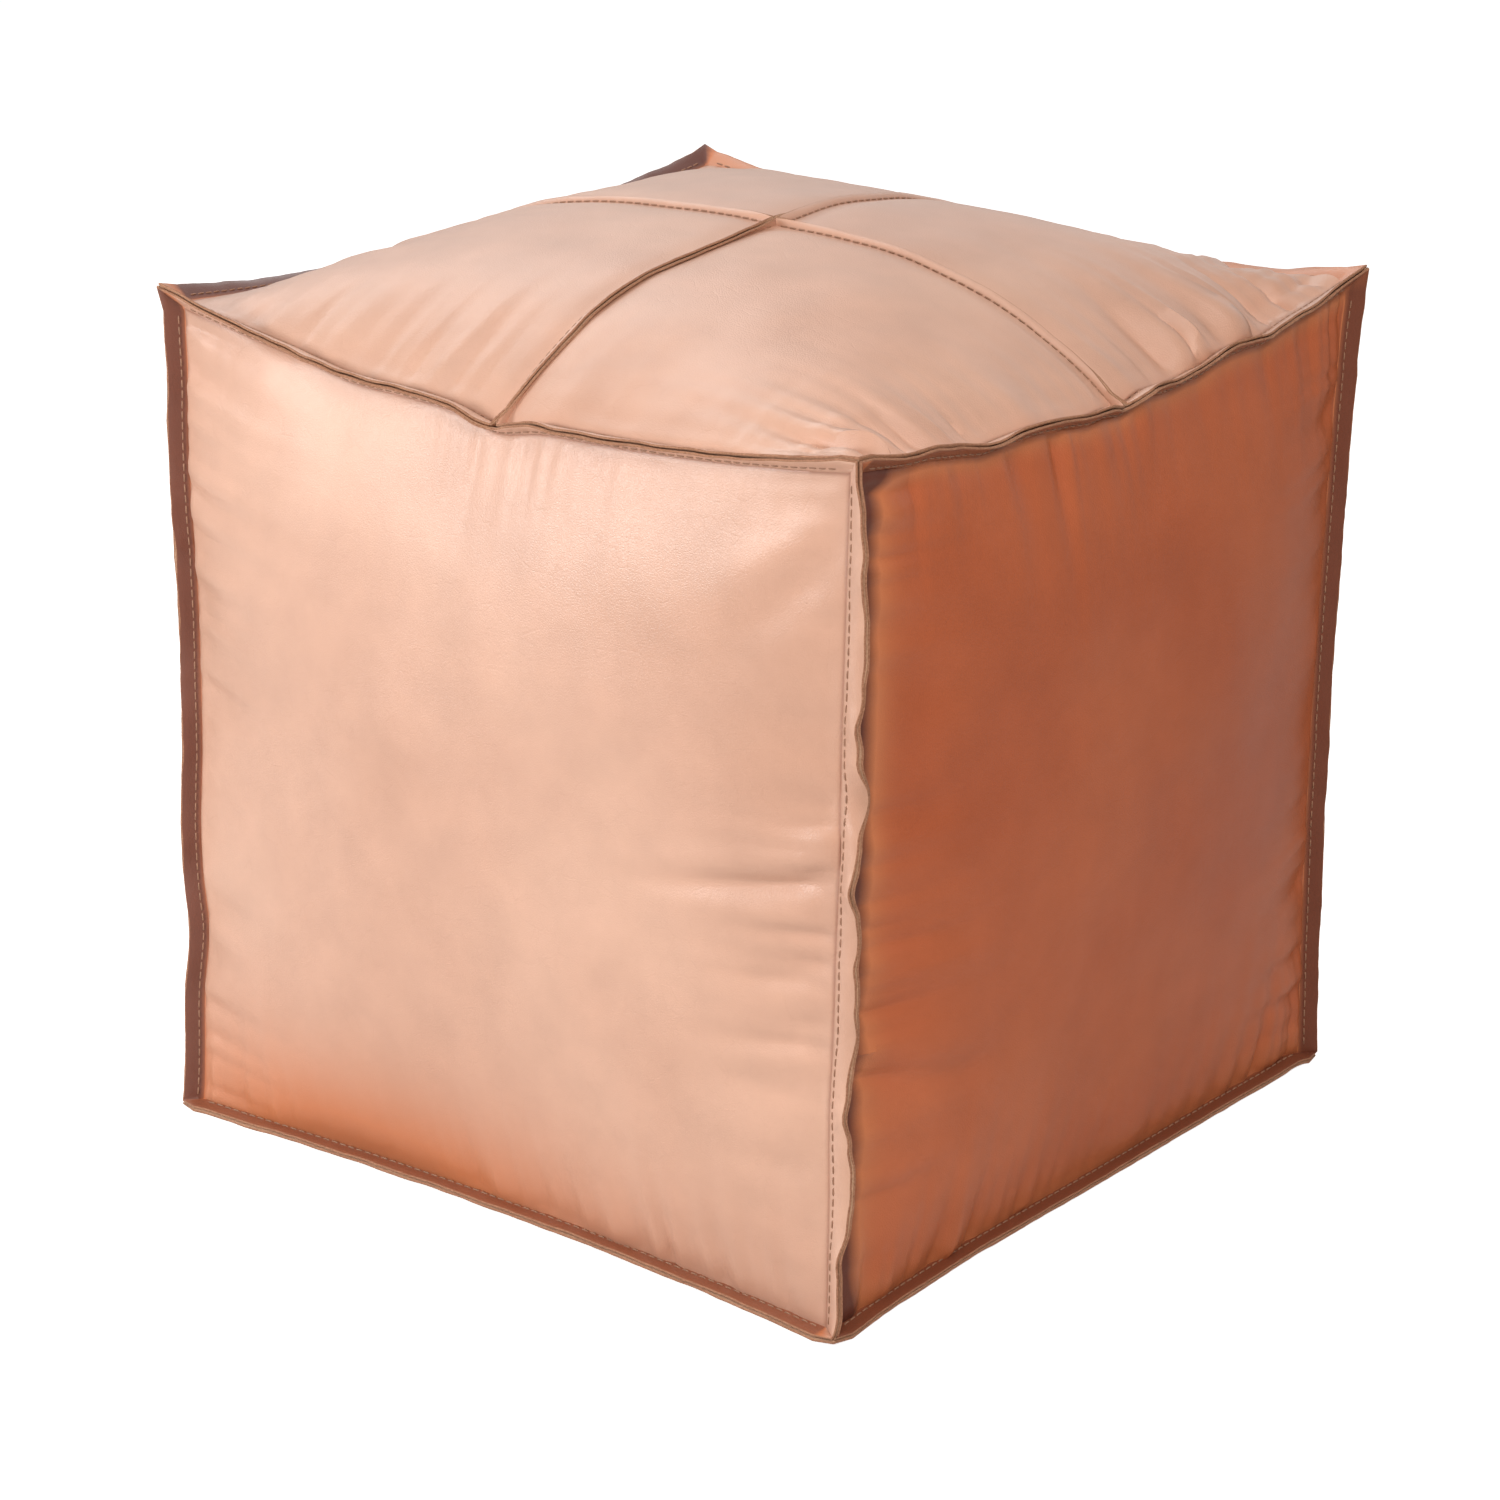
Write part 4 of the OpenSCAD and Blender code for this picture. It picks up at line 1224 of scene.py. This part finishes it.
def softenEdges(piece, width):
    bevel = piece.modifiers.new("softEdges", "BEVEL")
    bevel.width, bevel.segments, bevel.limit_method = width, 2, "ANGLE"
    bevel.angle_limit = math.radians(40)
    piece.data.polygons.foreach_set("use_smooth", np.ones(len(piece.data.polygons), bool))
    piece.data.set_sharp_from_angle(angle=math.radians(35))


def softened(name, cadNode, body, width):   # the CAD piece's own shape with its edges rounded
    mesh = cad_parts[cadNode].data.copy()
    mesh.name = name
    mesh.materials.clear()
    mesh.materials.append(brass)
    piece = addObject(name, mesh)
    softenEdges(piece, width)
    return finishPiece(piece, body, "zip_brass", cadNode)


brass, tapeCloth = tumbledBrass(), wovenTape()
tapePiece("zipTapeFront", "zip_tape_front")
tapePiece("zipTapeBack", "zip_tape_back")
teethPiece("zipTeethFront", "zip_teeth_front", 0)
teethPiece("zipTeethBack", "zip_teeth_back", 2)
softened("zipTopStops", "zip_top_stops", "cover", zipper["bevel"])
softened("zipBottomStop", "zip_bottom_stop", "cover", zipper["bevel"])
softened("zipSlider", "zip_slider", "slider", zipper["bevel"] / 2)
softened("zipPullTab", "zip_pull_tab", "pull_tab", zipper["bevel"] / 2)


def zipStitchLine():
    low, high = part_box("thread_zip")
    inset = stitch["radius"]
    x, y, z = high.x - inset, high.y - inset, low.z
    corners = [(-x, -y), (x, -y), (x, y), (-x, y), (-x, -y)]
    path = []
    for (x0, y0), (x1, y1) in zip(corners[:-1], corners[1:]):
        count = max(2, int(math.hypot(x1 - x0, y1 - y0) / stitch["pathStep"]))
        path += [(x0 + (x1 - x0) * i / count, y0 + (y1 - y0) * i / count, z) for i in range(count)]
    return [(np.array(p), axisZ) for p in path]


finishPiece(stitchObject("threadZip", [zipStitchLine()], waxedThread), "cover", "sewing_thread", "thread_zip")
print("zip made")

# Camera, floor and light

shot = {
    "azimuth": 37.48,
    "elevation": 19.70,
    "roll": 0.94,
    "distance": 2.368,
    "aimHeight": 0.2199,
    "lens": 108.9,
    "shift": (-0.010, -0.0393),
}


def directionOf(azimuth, elevation):   # from the middle outwards, with the azimuth counted from the front
    a, e = math.radians(azimuth), math.radians(elevation)
    return Vector((math.sin(a) * math.cos(e), -math.cos(a) * math.cos(e), math.sin(e)))


def makeCamera():
    back = directionOf(shot["azimuth"], shot["elevation"])
    camera = addObject("camera", bpy.data.cameras.new("camera"))
    camera.location = Vector((0, 0, shot["aimHeight"])) + back * shot["distance"]
    turn = (-back).to_track_quat("-Z", "Y").to_matrix().to_4x4()
    camera.rotation_euler = (turn @ turn.Rotation(math.radians(shot["roll"]), 4, axisZ)).to_euler()
    camera.data.sensor_width = 36
    camera.data.lens = shot["lens"]
    camera.data.shift_x, camera.data.shift_y = shot["shift"]
    bpy.context.scene.camera = camera


studio = {
    "floorSize": 12.0,
    "floorColor": (0.86, 0.86, 0.86, 1),
    "floorGlow": 0.8,       # keeps the floor white for the camera alone
    "ambient": (0.15, 0.15, 0.15, 1),
    "aimHeight": 0.22,
    "lamps": [
        # name, azimuth, elevation, distance, width, height, power, colour
        ("keyLamp", -28, 14, 1.7, 0.4, 0.3, 14.4, (1, 1, 1)),
        ("lowStrip", -35, 4, 1.7, 0.7, 0.3, 1.9, (1, 1, 1)),
        ("leftLamp", -115, 45, 2.3, 1.4, 1.0, 12.4, (1, 1, 1)),
        ("topLamp", 20, 80, 2.2, 1.2, 1.2, 11.5, (1, 1, 1)),
        ("warmLamp", 50, 40, 2.5, 1.5, 1.2, 40.7, (1, 0.85, 0.75)),
    ],
}


def makeFloor():
    size = studio["floorSize"]
    material, nodes, _ = newMaterial("paleFloor")
    glow = nodes.times(nodes.add("LightPath").outputs["Is Camera Ray"], studio["floorGlow"])
    shaded(material, nodes, {
        "Base Color": studio["floorColor"], "Roughness": 0.9, "Specular IOR Level": 0.1,
        "Emission Color": (1, 1, 1, 1), "Emission Strength": glow,
    })
    corners = [(-size, -size, 0), (size, -size, 0), (size, size, 0), (-size, size, 0)]
    meshObject("floor", corners, [(0, 1, 2, 3)], material, smooth=False)


def makeWorld():   # white where it is seen directly, in a mirror or through glass; a dim grey light elsewhere
    world = bpy.data.worlds.new("studio")
    world.use_nodes = True
    nodes = Nodes(world.node_tree)
    path = nodes.add("LightPath").outputs
    seen = nodes.math("MAXIMUM", path["Is Camera Ray"], path["Is Glossy Ray"])
    seen = nodes.math("MAXIMUM", seen, path["Is Transmission Ray"])
    color = nodes.mix(seen, studio["ambient"], (1, 1, 1, 1))
    nodes.put(color, world.node_tree.nodes["Background"].inputs["Color"])
    bpy.context.scene.world = world


def makeLamps():
    for name, azimuth, elevation, distance, width, height, power, color in studio["lamps"]:
        lamp = bpy.data.lights.new(name, "AREA")
        lamp.shape = "RECTANGLE"
        lamp.size, lamp.size_y, lamp.energy, lamp.color = width, height, power, color
        toLamp = directionOf(azimuth, elevation)
        holder = addObject(name, lamp)
        holder.visible_camera = False
        holder.location = Vector((0, 0, studio["aimHeight"])) + toLamp * distance
        holder.rotation_euler = toLamp.to_track_quat("Z", "Y").to_euler()


makeCamera()
makeFloor()
makeWorld()
makeLamps()
bpy.context.scene.view_settings.view_transform = "Standard"
print("camera and studio ready")
